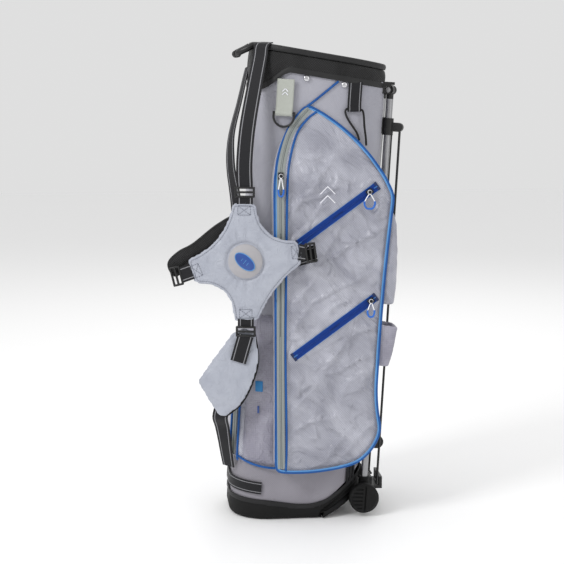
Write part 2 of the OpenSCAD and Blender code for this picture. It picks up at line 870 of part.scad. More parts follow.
module harness_pad() {
    color([0.66, 0.67, 0.7]) at_star() star_sheet(-star_t / 2, star_t / 2) polygon(concat(
        arc([-22, 100], [-102, 1], 18), [[-102, 1]], arc([-88, -40], [-21, -106], 26),
        [[-21, -106]], arc([22, -103], [98, -2], 9), [[98, -2]], arc([90, 36], [18, 100], 24), [[18, 100]]));
}

module harness_badge() {
    color([0.16, 0.36, 0.72]) at_star() {
        translate([0, -star_t / 2 - 0.1, 0]) rotate([90, 0, 0]) cylinder(r = disc_d / 2, h = 3);
        translate([0, -star_t / 2 - 3, 0]) rotate([90, 40, 0]) linear_extrude(1.5)
            polygon([for (i = [0 : 31]) [21 * cos(i * 360 / 32), 11.5 * sin(i * 360 / 32)]]);
    }
}

module strap_left() {
    color([0.1, 0.1, 0.1]) at_star() star_sheet(star_t / 2 + 0.5, star_t / 2 + 9) polygon(concat(
        arc([-14, 78], [-93, 28], 6), arc([-93, 28], [-136, -3], -3), arc([-136, -3], [-124, -30], 4),
        [[-112, -18]], arc([-100, -6], [-20, 36], 6), [[-10, 40]]));
}

module strap_right() {
    color([0.66, 0.67, 0.7]) at_star() star_sheet(4, 14) polygon(concat(
        arc([-20, -122], [-81, -214], -6), arc([-81, -214], [-46, -277], -4),
        arc([-46, -277], [9, -217], -6), arc([9, -217], [16, -134], -9), [[12, -122]]));
}

// Straight piece of webbing between two points. Its width lies level, turned by `turn` from the X axis.
module web(from, to, turn = star_turn, w = web_w) {
    run = (to - from) / norm(to - from);
    level = [cos(turn), -sin(turn), 0];
    flat = level - run * (level * run);
    side = flat / norm(flat);
    face = cross(run, side);
    multmatrix([[side[0], face[0], run[0], from[0]], [side[1], face[1], run[1], from[1]],
        [side[2], face[2], run[2], from[2]], [0, 0, 0, 1]])
        translate([-w / 2, -web_t / 2, 0]) cube([w, web_t, norm(to - from)]);
}

module harness_webbing() {
    color([0.08, 0.08, 0.09]) {
        web(star_at + [-1, 0.5, 129], [spine + 55, -body_b + 16, rim_s + 11]);
        web(star_at + [-1, 0, 109.5], star_at + [-1, 0, 100.5]);
        web(star_at + [-13, 26, 84], [spine + 4, -body_b + 30, rim_s - 190], 60);
        web([spine + 4, -body_b + 30, rim_s - 190], [spine + 9, -14, rim_s - 123], 72);
        web([spine + 9, -14, rim_s - 123], [spine + 36, 12, rim_s - 30], 80);
        web(star_at + [-54, 28, -269], [spine - 17, -body_b + 22, 160], 20);
        web([spine - 17, -body_b + 22, 160], [spine - 3, -body_b + 48, 84], 45);
        at_star() star_sheet(-web_t / 2, web_t / 2) {
            polygon([[-91.5, -32], [-99.5, -7.5], [-115, -13], [-108.5, -38]]);
            polygon([[97.5, 5], [92.5, 29], [101, 27], [104.5, 2.5]]);
        }
    }
}

module buckle() {
    half = web_w / 2;
    difference() {
        translate([-half - 2, -4, -9]) cube([web_w + 4, 8, 18]);
        translate([-half, -5, -6]) cube([web_w, 10, 4.5]);
        translate([-half, -5, 1.5]) cube([web_w, 10, 4.5]);
    }
}

module ladder_buckles() {
    color([0.06, 0.06, 0.07]) at_star() {
        translate([-1, 0, 119]) buckle();
        translate([0, -2, -123]) buckle();
        translate([-121, 0, -28]) rotate([0, 76, 0]) buckle();
        translate([113, 0, 16]) rotate([0, 82, 0]) buckle();
    }
}

base_cup();
bottom_frame();
toe_plate();
rod_bracket();
toe_gusset();
body_shell();
spine_stay();
side_stays();
top_collar();
collar_padding();
rim_binding();
top_divider();
divider_long();
divider_cross();
lift_handle();
leg_bracket();
leg_pins();
leg_clip();
main_pocket();
side_pocket();
bottle_pocket();
far_pocket();
ball_pocket();
accessory_pocket();
pocket_piping();
side_zip_tape();
upper_zip_tape();
lower_zip_tape();
ball_zip_tape();
upper_slider();
upper_pull();
lower_slider();
lower_pull();
side_slider();
side_pull();
ball_slider();
ball_pull();
ring_tab();
d_ring();
umbrella_tab();
umbrella_cord();
snap_studs();
base_webbing();
harness_pad();
harness_badge();
strap_left();
strap_right();
harness_webbing();
ladder_buckles();
leg_hinge();  // near_hinge
leg_tube();  // near_leg
leg_clamp();  // near_clamp
leg_foot();  // near_foot
leg_rod();  // near_rod
mirror([0, 1, 0]) leg_hinge();  // far_hinge
mirror([0, 1, 0]) leg_tube();  // far_leg
mirror([0, 1, 0]) leg_clamp();  // far_clamp
mirror([0, 1, 0]) leg_foot();  // far_foot
mirror([0, 1, 0]) leg_rod();  // far_rod
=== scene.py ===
import json
import math

import bpy
import numpy as np
from mathutils import Matrix, Vector, noise

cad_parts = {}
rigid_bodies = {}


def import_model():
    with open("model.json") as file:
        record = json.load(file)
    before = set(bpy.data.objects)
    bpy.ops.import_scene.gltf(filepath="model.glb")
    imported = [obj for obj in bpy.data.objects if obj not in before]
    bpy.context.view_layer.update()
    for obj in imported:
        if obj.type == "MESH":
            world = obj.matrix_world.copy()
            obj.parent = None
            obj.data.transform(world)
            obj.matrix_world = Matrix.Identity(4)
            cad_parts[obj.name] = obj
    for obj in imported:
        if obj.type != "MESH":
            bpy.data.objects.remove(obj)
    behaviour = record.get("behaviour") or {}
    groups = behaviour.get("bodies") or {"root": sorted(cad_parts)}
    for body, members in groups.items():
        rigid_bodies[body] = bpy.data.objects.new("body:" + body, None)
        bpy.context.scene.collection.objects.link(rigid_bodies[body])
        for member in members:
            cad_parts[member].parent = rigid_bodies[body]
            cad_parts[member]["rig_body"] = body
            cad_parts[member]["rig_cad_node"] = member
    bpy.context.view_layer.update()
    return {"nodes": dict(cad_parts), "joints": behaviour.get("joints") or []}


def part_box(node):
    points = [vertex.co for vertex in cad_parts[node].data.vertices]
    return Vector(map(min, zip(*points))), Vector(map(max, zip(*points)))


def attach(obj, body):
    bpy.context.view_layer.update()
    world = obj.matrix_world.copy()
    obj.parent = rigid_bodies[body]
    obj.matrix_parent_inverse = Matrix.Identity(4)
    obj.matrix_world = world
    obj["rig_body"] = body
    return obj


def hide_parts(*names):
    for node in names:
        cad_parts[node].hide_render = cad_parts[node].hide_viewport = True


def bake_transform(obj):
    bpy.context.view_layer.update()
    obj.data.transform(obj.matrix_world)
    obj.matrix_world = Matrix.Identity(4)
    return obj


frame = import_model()

# Golf stand bag. Everything is in metres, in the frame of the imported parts.
# "Bag frame": p runs from spine to belly, y from near side to far side, s up the leaning bag.

mm = 0.001
clothGap = 0.7 * mm      # between a pocket's back and the body
ovalSteps = 720          # places tried round the body when the nearest is looked for


# places taken from the frame
def jointNamed(name):
    return next(j for j in frame["joints"] if j["name"] == name)


upBag = Vector(jointNamed("ball_zip_slide")["axis"]).normalized()
leanCos, leanSin = upBag.z, upBag.x


def bagPoint(p, y, s):
    return Vector((p * leanCos + s * leanSin, y, s * leanCos - p * leanSin))


def bagPoints(node):
    found = np.array([v.co for v in frame["nodes"][node].data.vertices], float)
    across = found[:, 0] * leanCos - found[:, 2] * leanSin
    up = found[:, 0] * leanSin + found[:, 2] * leanCos
    return np.stack([across, found[:, 1], up], 1)


shell = bagPoints("body_shell")
spine, belly = shell[:, 0].min(), shell[:, 0].max()
bodyMid = (spine + belly) / 2
bodyHalf = (belly - spine) / 2
bodySide = shell[:, 1].max()
flatEnd = shell[shell[:, 0] < spine + 0.2 * mm][:, 1].max()
cornerRadius = bodySide - flatEnd

collar = bagPoints("collar_padding")
collarLeft, collarRight = collar[:, 0].min(), collar[:, 0].max()
collarMid = (collarLeft + collarRight) / 2
collarGrow = collar[:, 1].max() - bodySide
rimLeft = collar[collar[:, 0] < collarLeft + mm][:, 2].max()
rimRight = collar[collar[:, 0] > collarRight - mm][:, 2].max()
rimSlope = (rimRight - rimLeft) / (collarRight - collarLeft)


def rimHeight(p):
    return rimLeft + (p - collarLeft) * rimSlope


def ovalPoint(share, grow=0.0, middle=None):
    middle = bodyMid if middle is None else middle
    radius = cornerRadius + grow
    flatY, flatP = bodySide - cornerRadius, bodyHalf - cornerRadius
    arc = math.pi / 2 * radius
    walk = (share % 1.0) * (4 * flatY + 4 * flatP + 4 * arc)
    # the walk starts at the spine's middle and goes round by the near side
    stops = [("spine", flatY), ("a", arc), ("near", 2 * flatP), ("b", arc), ("belly", 2 * flatY),
             ("c", arc), ("far", 2 * flatP), ("d", arc), ("end", flatY)]
    for name, length in stops:
        if walk <= length or name == "end":
            break
        walk -= length
    out = bodyHalf + grow
    side = bodySide + grow
    turn = walk / radius
    if name == "spine":
        spot, normal = (-out, -walk), (-1, 0)
    elif name == "a":
        normal = (-math.cos(turn), -math.sin(turn))
        spot = (-flatP + radius * normal[0], -flatY + radius * normal[1])
    elif name == "near":
        spot, normal = (-flatP + walk, -side), (0, -1)
    elif name == "b":
        normal = (math.sin(turn), -math.cos(turn))
        spot = (flatP + radius * normal[0], -flatY + radius * normal[1])
    elif name == "belly":
        spot, normal = (out, -flatY + walk), (1, 0)
    elif name == "c":
        normal = (math.cos(turn), math.sin(turn))
        spot = (flatP + radius * normal[0], flatY + radius * normal[1])
    elif name == "far":
        spot, normal = (flatP - walk, side), (0, 1)
    elif name == "d":
        normal = (-math.sin(turn), math.cos(turn))
        spot = (-flatP + radius * normal[0], flatY + radius * normal[1])
    else:
        spot, normal = (-out, flatY - walk), (-1, 0)
    return middle + spot[0], spot[1], normal


def ovalDepth(p, y, grow=0.0, middle=None):
    middle = bodyMid if middle is None else middle
    awayP = max(0.0, abs(p - middle) - (bodyHalf - cornerRadius))
    awayY = max(0.0, abs(y) - (bodySide - cornerRadius))
    return math.hypot(awayP, awayY) - (cornerRadius + grow)


# small tools
def deselectAll():
    bpy.ops.object.select_all(action="DESELECT")


def activate(piece):
    deselectAll()
    piece.select_set(True)
    bpy.context.view_layer.objects.active = piece


def applyModifier(piece, kind, **settings):
    activate(piece)
    modifier = piece.modifiers.new(kind.lower(), kind)
    for name, value in settings.items():
        setattr(modifier, name, value)
    bpy.ops.object.modifier_apply(modifier=modifier.name)


def editAll(piece, *steps):
    activate(piece)
    bpy.ops.object.mode_set(mode="EDIT")
    bpy.ops.mesh.select_all(action="SELECT")
    for step in steps:
        step()
    bpy.ops.object.mode_set(mode="OBJECT")


def mergeAndFace(piece, distance=0.02 * mm):
    editAll(piece, lambda: bpy.ops.mesh.remove_doubles(threshold=distance),
            lambda: bpy.ops.mesh.normals_make_consistent(inside=False))


def smooth(piece, angle=40):
    activate(piece)
    bpy.ops.object.shade_smooth_by_angle(angle=math.radians(angle))


def paint(piece, material):
    piece.data.materials.clear()
    piece.data.materials.append(material)


def gridSheet(name, across, along, place):
    # a flat grid whose points are then laid on a curved surface; its UV map stays
    deselectAll()
    bpy.ops.mesh.primitive_grid_add(x_subdivisions=across, y_subdivisions=along, size=1)
    piece = bpy.context.object
    piece.name = piece.data.name = name
    for vertex in piece.data.vertices:
        vertex.co = place(vertex.co.x + 0.5, vertex.co.y + 0.5)
    return piece


def smoothPath(points, step=3 * mm, closed=False):
    # evenly spaced points on a curve through the given ones
    points = [Vector(q) for q in points]
    count = len(points)
    dense = []
    for i in range(count if closed else count - 1):
        a, b, c, d = (points[(i + k) % count] if closed else points[min(max(i + k, 0), count - 1)]
                      for k in (-1, 0, 1, 2))
        parts = max(2, int((c - b).length / step * 2))
        for k in range(parts):
            t = k / parts
            dense.append(0.5 * (2 * b + (c - a) * t + (2 * a - 5 * b + 4 * c - d) * t * t
                                + (3 * b - a - 3 * c + d) * t * t * t))
    if not closed:
        dense.append(points[-1])
    return evenly(dense, step, closed)


def evenly(points, step, closed=False):
    ring = points + [points[0]] if closed else points
    lengths = [0.0]
    for a, b in zip(ring, ring[1:]):
        lengths.append(lengths[-1] + (b - a).length)
    count = max(2, round(lengths[-1] / step))
    found = []
    place = 0
    for i in range(count if closed else count + 1):
        wanted = lengths[-1] * i / count
        while place < len(lengths) - 2 and lengths[place + 1] < wanted:
            place += 1
        part = (wanted - lengths[place]) / max(lengths[place + 1] - lengths[place], 1e-9)
        found.append(ring[place].lerp(ring[place + 1], min(max(part, 0.0), 1.0)))
    return found


def tubes(name, lines, radius, sides=0, closed=False):
    # round cords, rods or threads along given points, as one mesh
    curve = bpy.data.curves.new(name, "CURVE")
    curve.dimensions = "3D"
    curve.bevel_depth = radius
    curve.bevel_resolution = sides
    curve.use_fill_caps = True
    for line in lines:
        spline = curve.splines.new("POLY")
        spline.points.add(len(line) - 1)
        for spot, point in zip(spline.points, line):
            spot.co = (*point, 1)
        spline.use_cyclic_u = closed
    piece = bpy.data.objects.new(name, curve)
    bpy.context.collection.objects.link(piece)
    activate(piece)
    bpy.ops.object.convert(target="MESH")
    piece = bpy.context.object
    mergeAndFace(piece)
    return piece


def tube(name, points, radius, closed=False, sides=2):
    piece = tubes(name, [points], radius, sides, closed)
    smooth(piece, 60)
    return piece


def block(name, place, bevel, segments):
    # a unit cube put in its place by a matrix, with rounded edges
    deselectAll()
    bpy.ops.mesh.primitive_cube_add(size=1)
    piece = bpy.context.object
    piece.name = piece.data.name = name
    piece.data.transform(place)
    applyModifier(piece, "BEVEL", width=bevel, segments=segments)
    return piece


def ribbon(name, points, sides, width, thick, crown=0.0, across=6):
    # flat band along a path; sides give the direction of its width at each path point
    count = len(points) - 1

    def place(u, v):
        spot = v * count
        i = min(int(spot), count - 1)
        centre = points[i].lerp(points[i + 1], spot - i)
        side = sides[i].lerp(sides[i + 1], spot - i).normalized()
        along = (points[i + 1] - points[i]).normalized()
        face = along.cross(side).normalized()
        return centre + side * (u - 0.5) * width + face * crown * (1 - (2 * u - 1) ** 2)
    piece = gridSheet(name, across, count, place)
    applyModifier(piece, "SOLIDIFY", thickness=thick, offset=0, use_even_offset=True)
    mergeAndFace(piece)
    smooth(piece, 50)
    return piece


def join(name, pieces):
    activate(pieces[0])
    for piece in pieces:
        piece.select_set(True)
    bpy.ops.object.join()
    piece = bpy.context.object
    piece.name = piece.data.name = name
    return piece


def sortedOutline(points, step, soften=2):
    # closed outline of flat points, in order round their middle, evenly spaced and a little rounded
    rough = sorted({(round(a, 4), round(b, 4)) for a, b in points})
    low, high = np.min(rough, 0), np.max(rough, 0)
    mid = (low + high) / 2
    rough.sort(key=lambda q: math.atan2(q[1] - mid[1], q[0] - mid[0]))
    ring = evenly([Vector((a, b, 0)) for a, b in rough], step, closed=True)
    for _ in range(soften):
        ring = [(ring[i - 1] + 2 * q + ring[(i + 1) % len(ring)]) / 4 for i, q in enumerate(ring)]
    return [(q.x, q.y) for q in ring]


def insetOutline(outline, distance):
    # the outline moved inwards, for one that runs anticlockwise
    count = len(outline)
    moved = []
    for i, (a, b) in enumerate(outline):
        before, after = outline[i - 1], outline[(i + 1) % count]
        along = Vector((after[0] - before[0], after[1] - before[1])).normalized()
        moved.append((a - along.y * distance, b + along.x * distance))
    return moved


def prism(name, outline, place, low, high):
    # closed block between two depths; place(a, b, depth) gives a point
    deselectAll()
    bpy.ops.mesh.primitive_circle_add(vertices=len(outline), radius=1, fill_type="NGON")
    piece = bpy.context.object
    piece.name = piece.data.name = name
    for vertex, (a, b) in zip(piece.data.vertices, outline):
        vertex.co = place(a, b, low)
    shift = place(0, 0, high) - place(0, 0, low)
    editAll(piece, lambda: bpy.ops.mesh.extrude_region_move(TRANSFORM_OT_translate={"value": shift}))
    editAll(piece, lambda: bpy.ops.mesh.normals_make_consistent(inside=False))
    return piece


def coordinates(piece):
    found = np.zeros(len(piece.data.vertices) * 3, np.float64)
    piece.data.vertices.foreach_get("co", found)
    return found.reshape(-1, 3)


def setCoordinates(piece, found):
    piece.data.vertices.foreach_set("co", np.asarray(found, np.float32).ravel())
    piece.data.update()


def normals(piece):
    found = np.zeros(len(piece.data.vertices) * 3, np.float32)
    piece.data.vertex_normals.foreach_get("vector", found)
    return found.reshape(-1, 3).astype(float)


swellSettings = {"frames": 20, "tension": 12, "bending": 0.4, "quickShare": 0.6}


def swell(piece, held, pressure, cap):
    # fills a closed skin with air while some of it is held; held(point) gives 1 where it can't move
    rest = coordinates(piece)
    loose = np.array([1 - held(Vector(q)) for q in rest])
    group = piece.vertex_groups.new(name="held")
    for i, free in enumerate(loose):
        group.add([i], 1 - free, "REPLACE")
    activate(piece)
    modifier = piece.modifiers.new("swell", "CLOTH")
    modifier.settings.use_pressure = True
    modifier.settings.uniform_pressure_force = pressure
    modifier.settings.vertex_group_mass = "held"
    modifier.settings.effector_weights.gravity = 0
    modifier.settings.tension_stiffness = swellSettings["tension"]
    modifier.settings.bending_stiffness = swellSettings["bending"]
    modifier.collision_settings.use_collision = False
    for number in range(1, swellSettings["frames"] + 1):
        bpy.context.scene.frame_set(number)
    activate(piece)
    bpy.ops.object.modifier_apply(modifier="swell")
    bpy.context.scene.frame_set(1)
    moved = coordinates(piece)
    piece.vertex_groups.clear()
    step = moved - rest
    far = np.linalg.norm(step, axis=1)
    step *= (np.minimum(far, cap) / np.maximum(far, 1e-9))[:, None]
    setCoordinates(piece, rest + step)


def crumple(piece, depth, size, where=None, seed=0.0, stretch=(1, 1, 1)):
    # soft creases: noise pushes the surface in and out along its normals
    found, out = coordinates(piece), normals(piece)
    for i, q in enumerate(found):
        spot = Vector((q[0] * stretch[0], q[1] * stretch[1], q[2] * stretch[2])) / size
        amount = noise.noise(spot + Vector((seed, seed * 1.7, 3.1)))
        amount += 0.5 * noise.noise(spot * 2.1 + Vector((5.2, seed, 1.3)))
        share = 1.0 if where is None else where(Vector(q))
        found[i] += out[i] * amount * depth * share
    setCoordinates(piece, found)


def pleat(piece, depth, size, where, seed, turn):
    # sharp slanting creases: ridges of a stretched noise
    found, out = coordinates(piece), normals(piece)
    leanAcross, leanUp = math.cos(turn), math.sin(turn)
    for i, q in enumerate(found):
        share = where(Vector(q))
        if share <= 0:
            continue
        along = (q[0] * leanAcross + q[2] * leanUp) / (size * 2.4)
        across = (q[2] * leanAcross - q[0] * leanUp) / size
        wander = noise.noise(Vector((along * 1.3, across * 1.3, seed))) * 0.9
        ridge = 1 - abs(noise.noise(Vector((along + wander, seed * 2.3, across + wander)))) * 3
        found[i] += out[i] * max(0.0, ridge) ** 2 * depth * share
    setCoordinates(piece, found)


def lineDistance(a, b, line):
    # distance from (a, b) to a flat polyline
    best = 1e9
    for (a0, b0), (a1, b1) in zip(line, line[1:]):
        da, db = a1 - a0, b1 - b0
        t = min(max(((a - a0) * da + (b - b0) * db) / (da * da + db * db), 0), 1)
        best = min(best, math.hypot(a - a0 - t * da, b - b0 - t * db))
    return best


def finish(piece, body, slot, *nodes):
    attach(piece, body)
    if nodes:
        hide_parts(*nodes)
    return piece


# materials
def linear(colour):
    # sRGB hex to linear
    def channel(text):
        value = int(text, 16) / 255
        return value / 12.92 if value <= 0.04045 else ((value + 0.055) / 1.055) ** 2.4
    text = colour.lstrip("#")
    return tuple(channel(text[i:i + 2]) for i in (0, 2, 4)) + (1.0,)


def addNode(material, kind, inputs=None, links=None, **settings):
    node = material.node_tree.nodes.new(kind)
    for name, value in settings.items():
        setattr(node, name, value)
    for name, value in (inputs or {}).items():
        node.inputs[name].default_value = value
    for name, source in (links or {}).items():
        material.node_tree.links.new(source, node.inputs[name])
    return node


def newMaterial(name, colour, roughness, **sockets):
    material = bpy.data.materials.new(name)
    material.use_nodes = True
    material.diffuse_color = linear(colour)
    shader = material.node_tree.nodes["Principled BSDF"]
    shader.inputs["Base Color"].default_value = linear(colour)
    shader.inputs["Roughness"].default_value = roughness
    for socket, value in sockets.items():
        shader.inputs[socket.replace("_", " ")].default_value = value
    return material, shader


waveRate = 0.314        # 2 pi over the 20 that a wave texture multiplies its scale by


def bandScale(spacing):
    # a wave texture's scale for bands that far apart, in metres
    return waveRate / spacing


def setRamp(node, stops, interpolation="LINEAR"):
    ramp = node.color_ramp
    ramp.interpolation = interpolation
    while len(ramp.elements) < len(stops):
        ramp.elements.new(0.5)
    for element, (place, colour) in zip(ramp.elements, stops):
        element.position = place
        element.color = linear(colour)
    return node


def clothMaterial(name, light, dark, roughness, weave=2.4 * mm, turn=45, sheenPatchSize=50 * mm,
                  crease=26 * mm, creaseDepth=1.6 * mm, weaveDepth=0.25 * mm, sheen=0.15, weaveShade=0.1,
                  sheenStreak=0.0):
    # woven cloth: two crossing sets of threads, soft lighter and darker patches of painted sheen that stand
    # in for the satin's highlights, and fine creases
    material, shader = newMaterial(name, light, roughness, Sheen_Weight=sheen, Sheen_Roughness=0.4,
                                   Specular_IOR_Level=0.45)
    coords = addNode(material, "ShaderNodeTexCoord").outputs["Object"]
    turned = addNode(material, "ShaderNodeMapping", {"Rotation": (0, math.radians(turn), math.radians(8))},
                     {"Vector": coords}).outputs["Vector"]
    warp = addNode(material, "ShaderNodeTexWave", {"Scale": bandScale(weave), "Distortion": 0.6},
                   {"Vector": turned}, bands_direction="X").outputs["Fac"]
    weft = addNode(material, "ShaderNodeTexWave", {"Scale": bandScale(weave), "Distortion": 0.6},
                   {"Vector": turned}, bands_direction="Z").outputs["Fac"]
    threads = addNode(material, "ShaderNodeMath", None, {0: warp, 1: weft}, operation="MULTIPLY").outputs[0]
    lean = {"Rotation": (0, math.radians(42), 0), "Scale": (1 + sheenStreak, 1, 1)}
    leaning = addNode(material, "ShaderNodeMapping", lean, {"Vector": coords},
                      vector_type="TEXTURE").outputs["Vector"]
    # painted sheen: noise patches, stretched along the diagonal, blend the colour between the dark and the
    # light tone as if light caught the satin
    paintedSheen = addNode(material, "ShaderNodeTexNoise", {"Scale": 1 / sheenPatchSize, "Detail": 4, "Distortion": 0.5},
                      {"Vector": leaning}).outputs["Fac"]
    shade = setRamp(addNode(material, "ShaderNodeValToRGB", None, {"Fac": paintedSheen}),
                    [(0.36, dark), (0.66, light)]).outputs["Color"]
    value = addNode(material, "ShaderNodeMapRange", {"To Min": 1 - weaveShade, "To Max": 1 + weaveShade / 2},
                    {"Value": threads}).outputs["Result"]
    colour = addNode(material, "ShaderNodeHueSaturation", None,
                     {"Value": value, "Color": shade}).outputs["Color"]
    material.node_tree.links.new(colour, shader.inputs["Base Color"])
    creases = addNode(material, "ShaderNodeTexNoise", {"Scale": 1 / crease, "Detail": 4, "Roughness": 0.5,
                      "Distortion": 1.2}, {"Vector": leaning}).outputs["Fac"]
    middled = addNode(material, "ShaderNodeMath", {1: 0.5}, {0: creases}, operation="SUBTRACT").outputs[0]
    ridges = addNode(material, "ShaderNodeMath", None, {0: middled}, operation="ABSOLUTE").outputs[0]
    folds = addNode(material, "ShaderNodeBump", {"Strength": 0.9, "Distance": creaseDepth * 4},
                    {"Height": ridges}).outputs["Normal"]
    grain = addNode(material, "ShaderNodeBump", {"Strength": 0.5, "Distance": weaveDepth},
                    {"Height": threads, "Normal": folds}).outputs["Normal"]
    material.node_tree.links.new(grain, shader.inputs["Normal"])
    return material


def grainMaterial(name, colour, pale, roughness, grain=0.8 * mm, depth=0.08 * mm, wear=30 * mm, **sockets):
    # moulded or painted surface: fine grain, with roughness and shade that drift where hands rub it
    material, shader = newMaterial(name, colour, roughness, **sockets)
    coords = addNode(material, "ShaderNodeTexCoord").outputs["Object"]
    drift = addNode(material, "ShaderNodeTexNoise", {"Scale": 1 / wear, "Detail": 3},
                    {"Vector": coords}).outputs["Fac"]
    shade = setRamp(addNode(material, "ShaderNodeValToRGB", None, {"Fac": drift}),
                    [(0.35, colour), (0.75, pale)]).outputs["Color"]
    material.node_tree.links.new(shade, shader.inputs["Base Color"])
    worn = {"To Min": roughness * 0.8, "To Max": min(1, roughness * 1.25)}
    rough = addNode(material, "ShaderNodeMapRange", worn, {"Value": drift}).outputs["Result"]
    material.node_tree.links.new(rough, shader.inputs["Roughness"])
    grains = addNode(material, "ShaderNodeTexNoise", {"Scale": 1 / grain, "Detail": 2},
                     {"Vector": coords}).outputs["Fac"]
    bump = addNode(material, "ShaderNodeBump", {"Strength": 0.5, "Distance": depth},
                   {"Height": grains}).outputs["Normal"]
    material.node_tree.links.new(bump, shader.inputs["Normal"])
    return material


def tapeMaterial(name, colour, stops, rib=1.6 * mm, roughness=0.6):
    # woven tape: lines that run along it come from its UV map, the ribs across it from its place
    material, shader = newMaterial(name, colour, roughness, Sheen_Weight=0.05, Specular_IOR_Level=0.2)
    texture = addNode(material, "ShaderNodeTexCoord")
    across = addNode(material, "ShaderNodeSeparateXYZ", None, {"Vector": texture.outputs["UV"]}).outputs["X"]
    lines = setRamp(addNode(material, "ShaderNodeValToRGB", None, {"Fac": across}), stops,
                    "CONSTANT").outputs["Color"]
    turned = addNode(material, "ShaderNodeMapping", {"Rotation": (0.4, 0.5, 0.3)},
                     {"Vector": texture.outputs["Object"]}).outputs["Vector"]
    ribs = addNode(material, "ShaderNodeTexWave", {"Scale": bandScale(rib), "Distortion": 1.2},
                   {"Vector": turned}, bands_direction="Z").outputs["Fac"]
    value = addNode(material, "ShaderNodeMapRange", {"To Min": 0.75, "To Max": 1.25},
                    {"Value": ribs}).outputs["Result"]
    shade = addNode(material, "ShaderNodeHueSaturation", None,
                    {"Value": value, "Color": lines}).outputs["Color"]
    material.node_tree.links.new(shade, shader.inputs["Base Color"])
    bump = addNode(material, "ShaderNodeBump", {"Strength": 0.5, "Distance": 0.3 * mm},
                   {"Height": ribs}).outputs["Normal"]
    material.node_tree.links.new(bump, shader.inputs["Normal"])
    return material


# satin nylon taffeta: a pale cool grey with a soft sheen, partly painted into its colour as lighter diagonal
# patches, and a crinkled face
nylon = clothMaterial("nylonTaffeta", "#B8B9C4", "#9A9BA7", 0.32, weave=3 * mm, crease=42 * mm, sheenStreak=0.8,
                      sheenPatchSize=46 * mm, weaveShade=0.2, creaseDepth=3 * mm, sheen=0.3)
# the smoother dense cloth of the bag's own wall
wallCloth = clothMaterial("coatedPolyester", "#A5A5AE", "#9A9AA4", 0.5, crease=80 * mm, creaseDepth=1.5 * mm,
                          sheenPatchSize=90 * mm, weaveShade=0.06)
# warm grey base cloth below the pockets, its face nearly plain
skirtCloth = clothMaterial("denseCanvas", "#95929A", "#8B8890", 0.6, crease=90 * mm, creaseDepth=1 * mm,
                           sheenPatchSize=90 * mm, weaveShade=0.1)
# the same nylon quilted over foam: finer creases, a little bluer
padNylon = clothMaterial("quiltedNylon", "#AFB3BE", "#A4A8B4", 0.42, weave=2 * mm, crease=14 * mm,
                         creaseDepth=0.9 * mm, sheenPatchSize=35 * mm)
# coarser ripstop of the lower side panel
ripstop = clothMaterial("ripstopNylon", "#A9A7B4", "#8D8B99", 0.42, weave=3.4 * mm, turn=0,
                        crease=18 * mm, weaveDepth=0.35 * mm)
# warp-knitted spacer mesh: black, with a net of small holes drawn at 3 mm so that it shows
spacerMesh = clothMaterial("spacerMesh", "#303031", "#1B1B1C", 0.85, weave=3 * mm, turn=40, crease=40 * mm,
                           creaseDepth=0.8 * mm, weaveDepth=0.9 * mm, sheen=0.1, weaveShade=0.75)
# smooth black nylon binding
binding = clothMaterial("nylonBinding", "#1C1C1D", "#141415", 0.6, weave=1.8 * mm, turn=90,
                        creaseDepth=0.5 * mm, sheen=0.05)
# brushed lining of the divider panels
lining = clothMaterial("brushedLining", "#3C3C40", "#2E2E32", 0.85, weave=2 * mm)
# woven polypropylene tape: dull black ribs, with two grey reflective lines woven in
webbing = tapeMaterial("reflectiveWebbing", "#1C1C1F",
                       [(0.0, "#1C1C1F"), (0.13, "#86868A"), (0.18, "#1C1C1F"), (0.82, "#86868A"),
                        (0.87, "#1C1C1F")])
plainWebbing = tapeMaterial("plainWebbing", "#1A1A1C", [(0.0, "#1A1A1C"), (0.5, "#1F1F21")])
greyWebbing = tapeMaterial("greyWebbing", "#A6A9A2", [(0.0, "#9A9D96"), (0.06, "#A9ACA5"), (0.94, "#9A9D96")])
# polyester zip tape: dense dark blue, a paler selvedge and a darker coil
blueZip = tapeMaterial("blueZipTape", "#07327E", [(0.0, "#3F74B4"), (0.04, "#07327E"), (0.44, "#052662"),
                                                  (0.56, "#07327E"), (0.96, "#3F74B4")], rib=1.5 * mm,
                       roughness=0.5)
navyStop = grainMaterial("moldedZipStop", "#0A1F4A", "#0E2858", 0.45)
greyZip = tapeMaterial("greyZipTape", "#858A89", [(0.0, "#8F9492"), (0.36, "#6F7473"), (0.64, "#8F9492")],
                       rib=1.5 * mm)
# extruded PVC piping under a glossy woven cover
bluePiping = grainMaterial("coatedPiping", "#134B8E", "#1C589C", 0.45, Specular_IOR_Level=0.3,
                           grain=2.2 * mm, depth=0.35 * mm)
paleBlue = grainMaterial("pipingFlange", "#4A84BD", "#5B94CB", 0.6, grain=2 * mm, depth=0.2 * mm)
# injection-moulded rubber: black, dull, dusty where it bends
bootRubber = grainMaterial("mouldedRubber", "#0D0D0D", "#151515", 0.68, Specular_IOR_Level=0.25,
                           grain=1.1 * mm, depth=0.15 * mm)
trimRubber = grainMaterial("rubberTrim", "#1B1B1C", "#252526", 0.55, Specular_IOR_Level=0.3,
                           grain=0.9 * mm, depth=0.1 * mm)
# acetal and nylon mouldings: black, satin, fine spark grain
blackPlastic = grainMaterial("mouldedAcetal", "#0C0C0D", "#151516", 0.4, IOR=1.48)
innerPlastic = grainMaterial("mouldedPolypropylene", "#1B1B1E", "#252528", 0.5, IOR=1.49)
# clear-anodised aluminium tube: bright grey, drawn lines along it
aluminium = grainMaterial("anodisedAluminium", "#98989A", "#A8A8AA", 0.36, grain=1.2 * mm, depth=0.03 * mm,
                          Metallic=1.0)
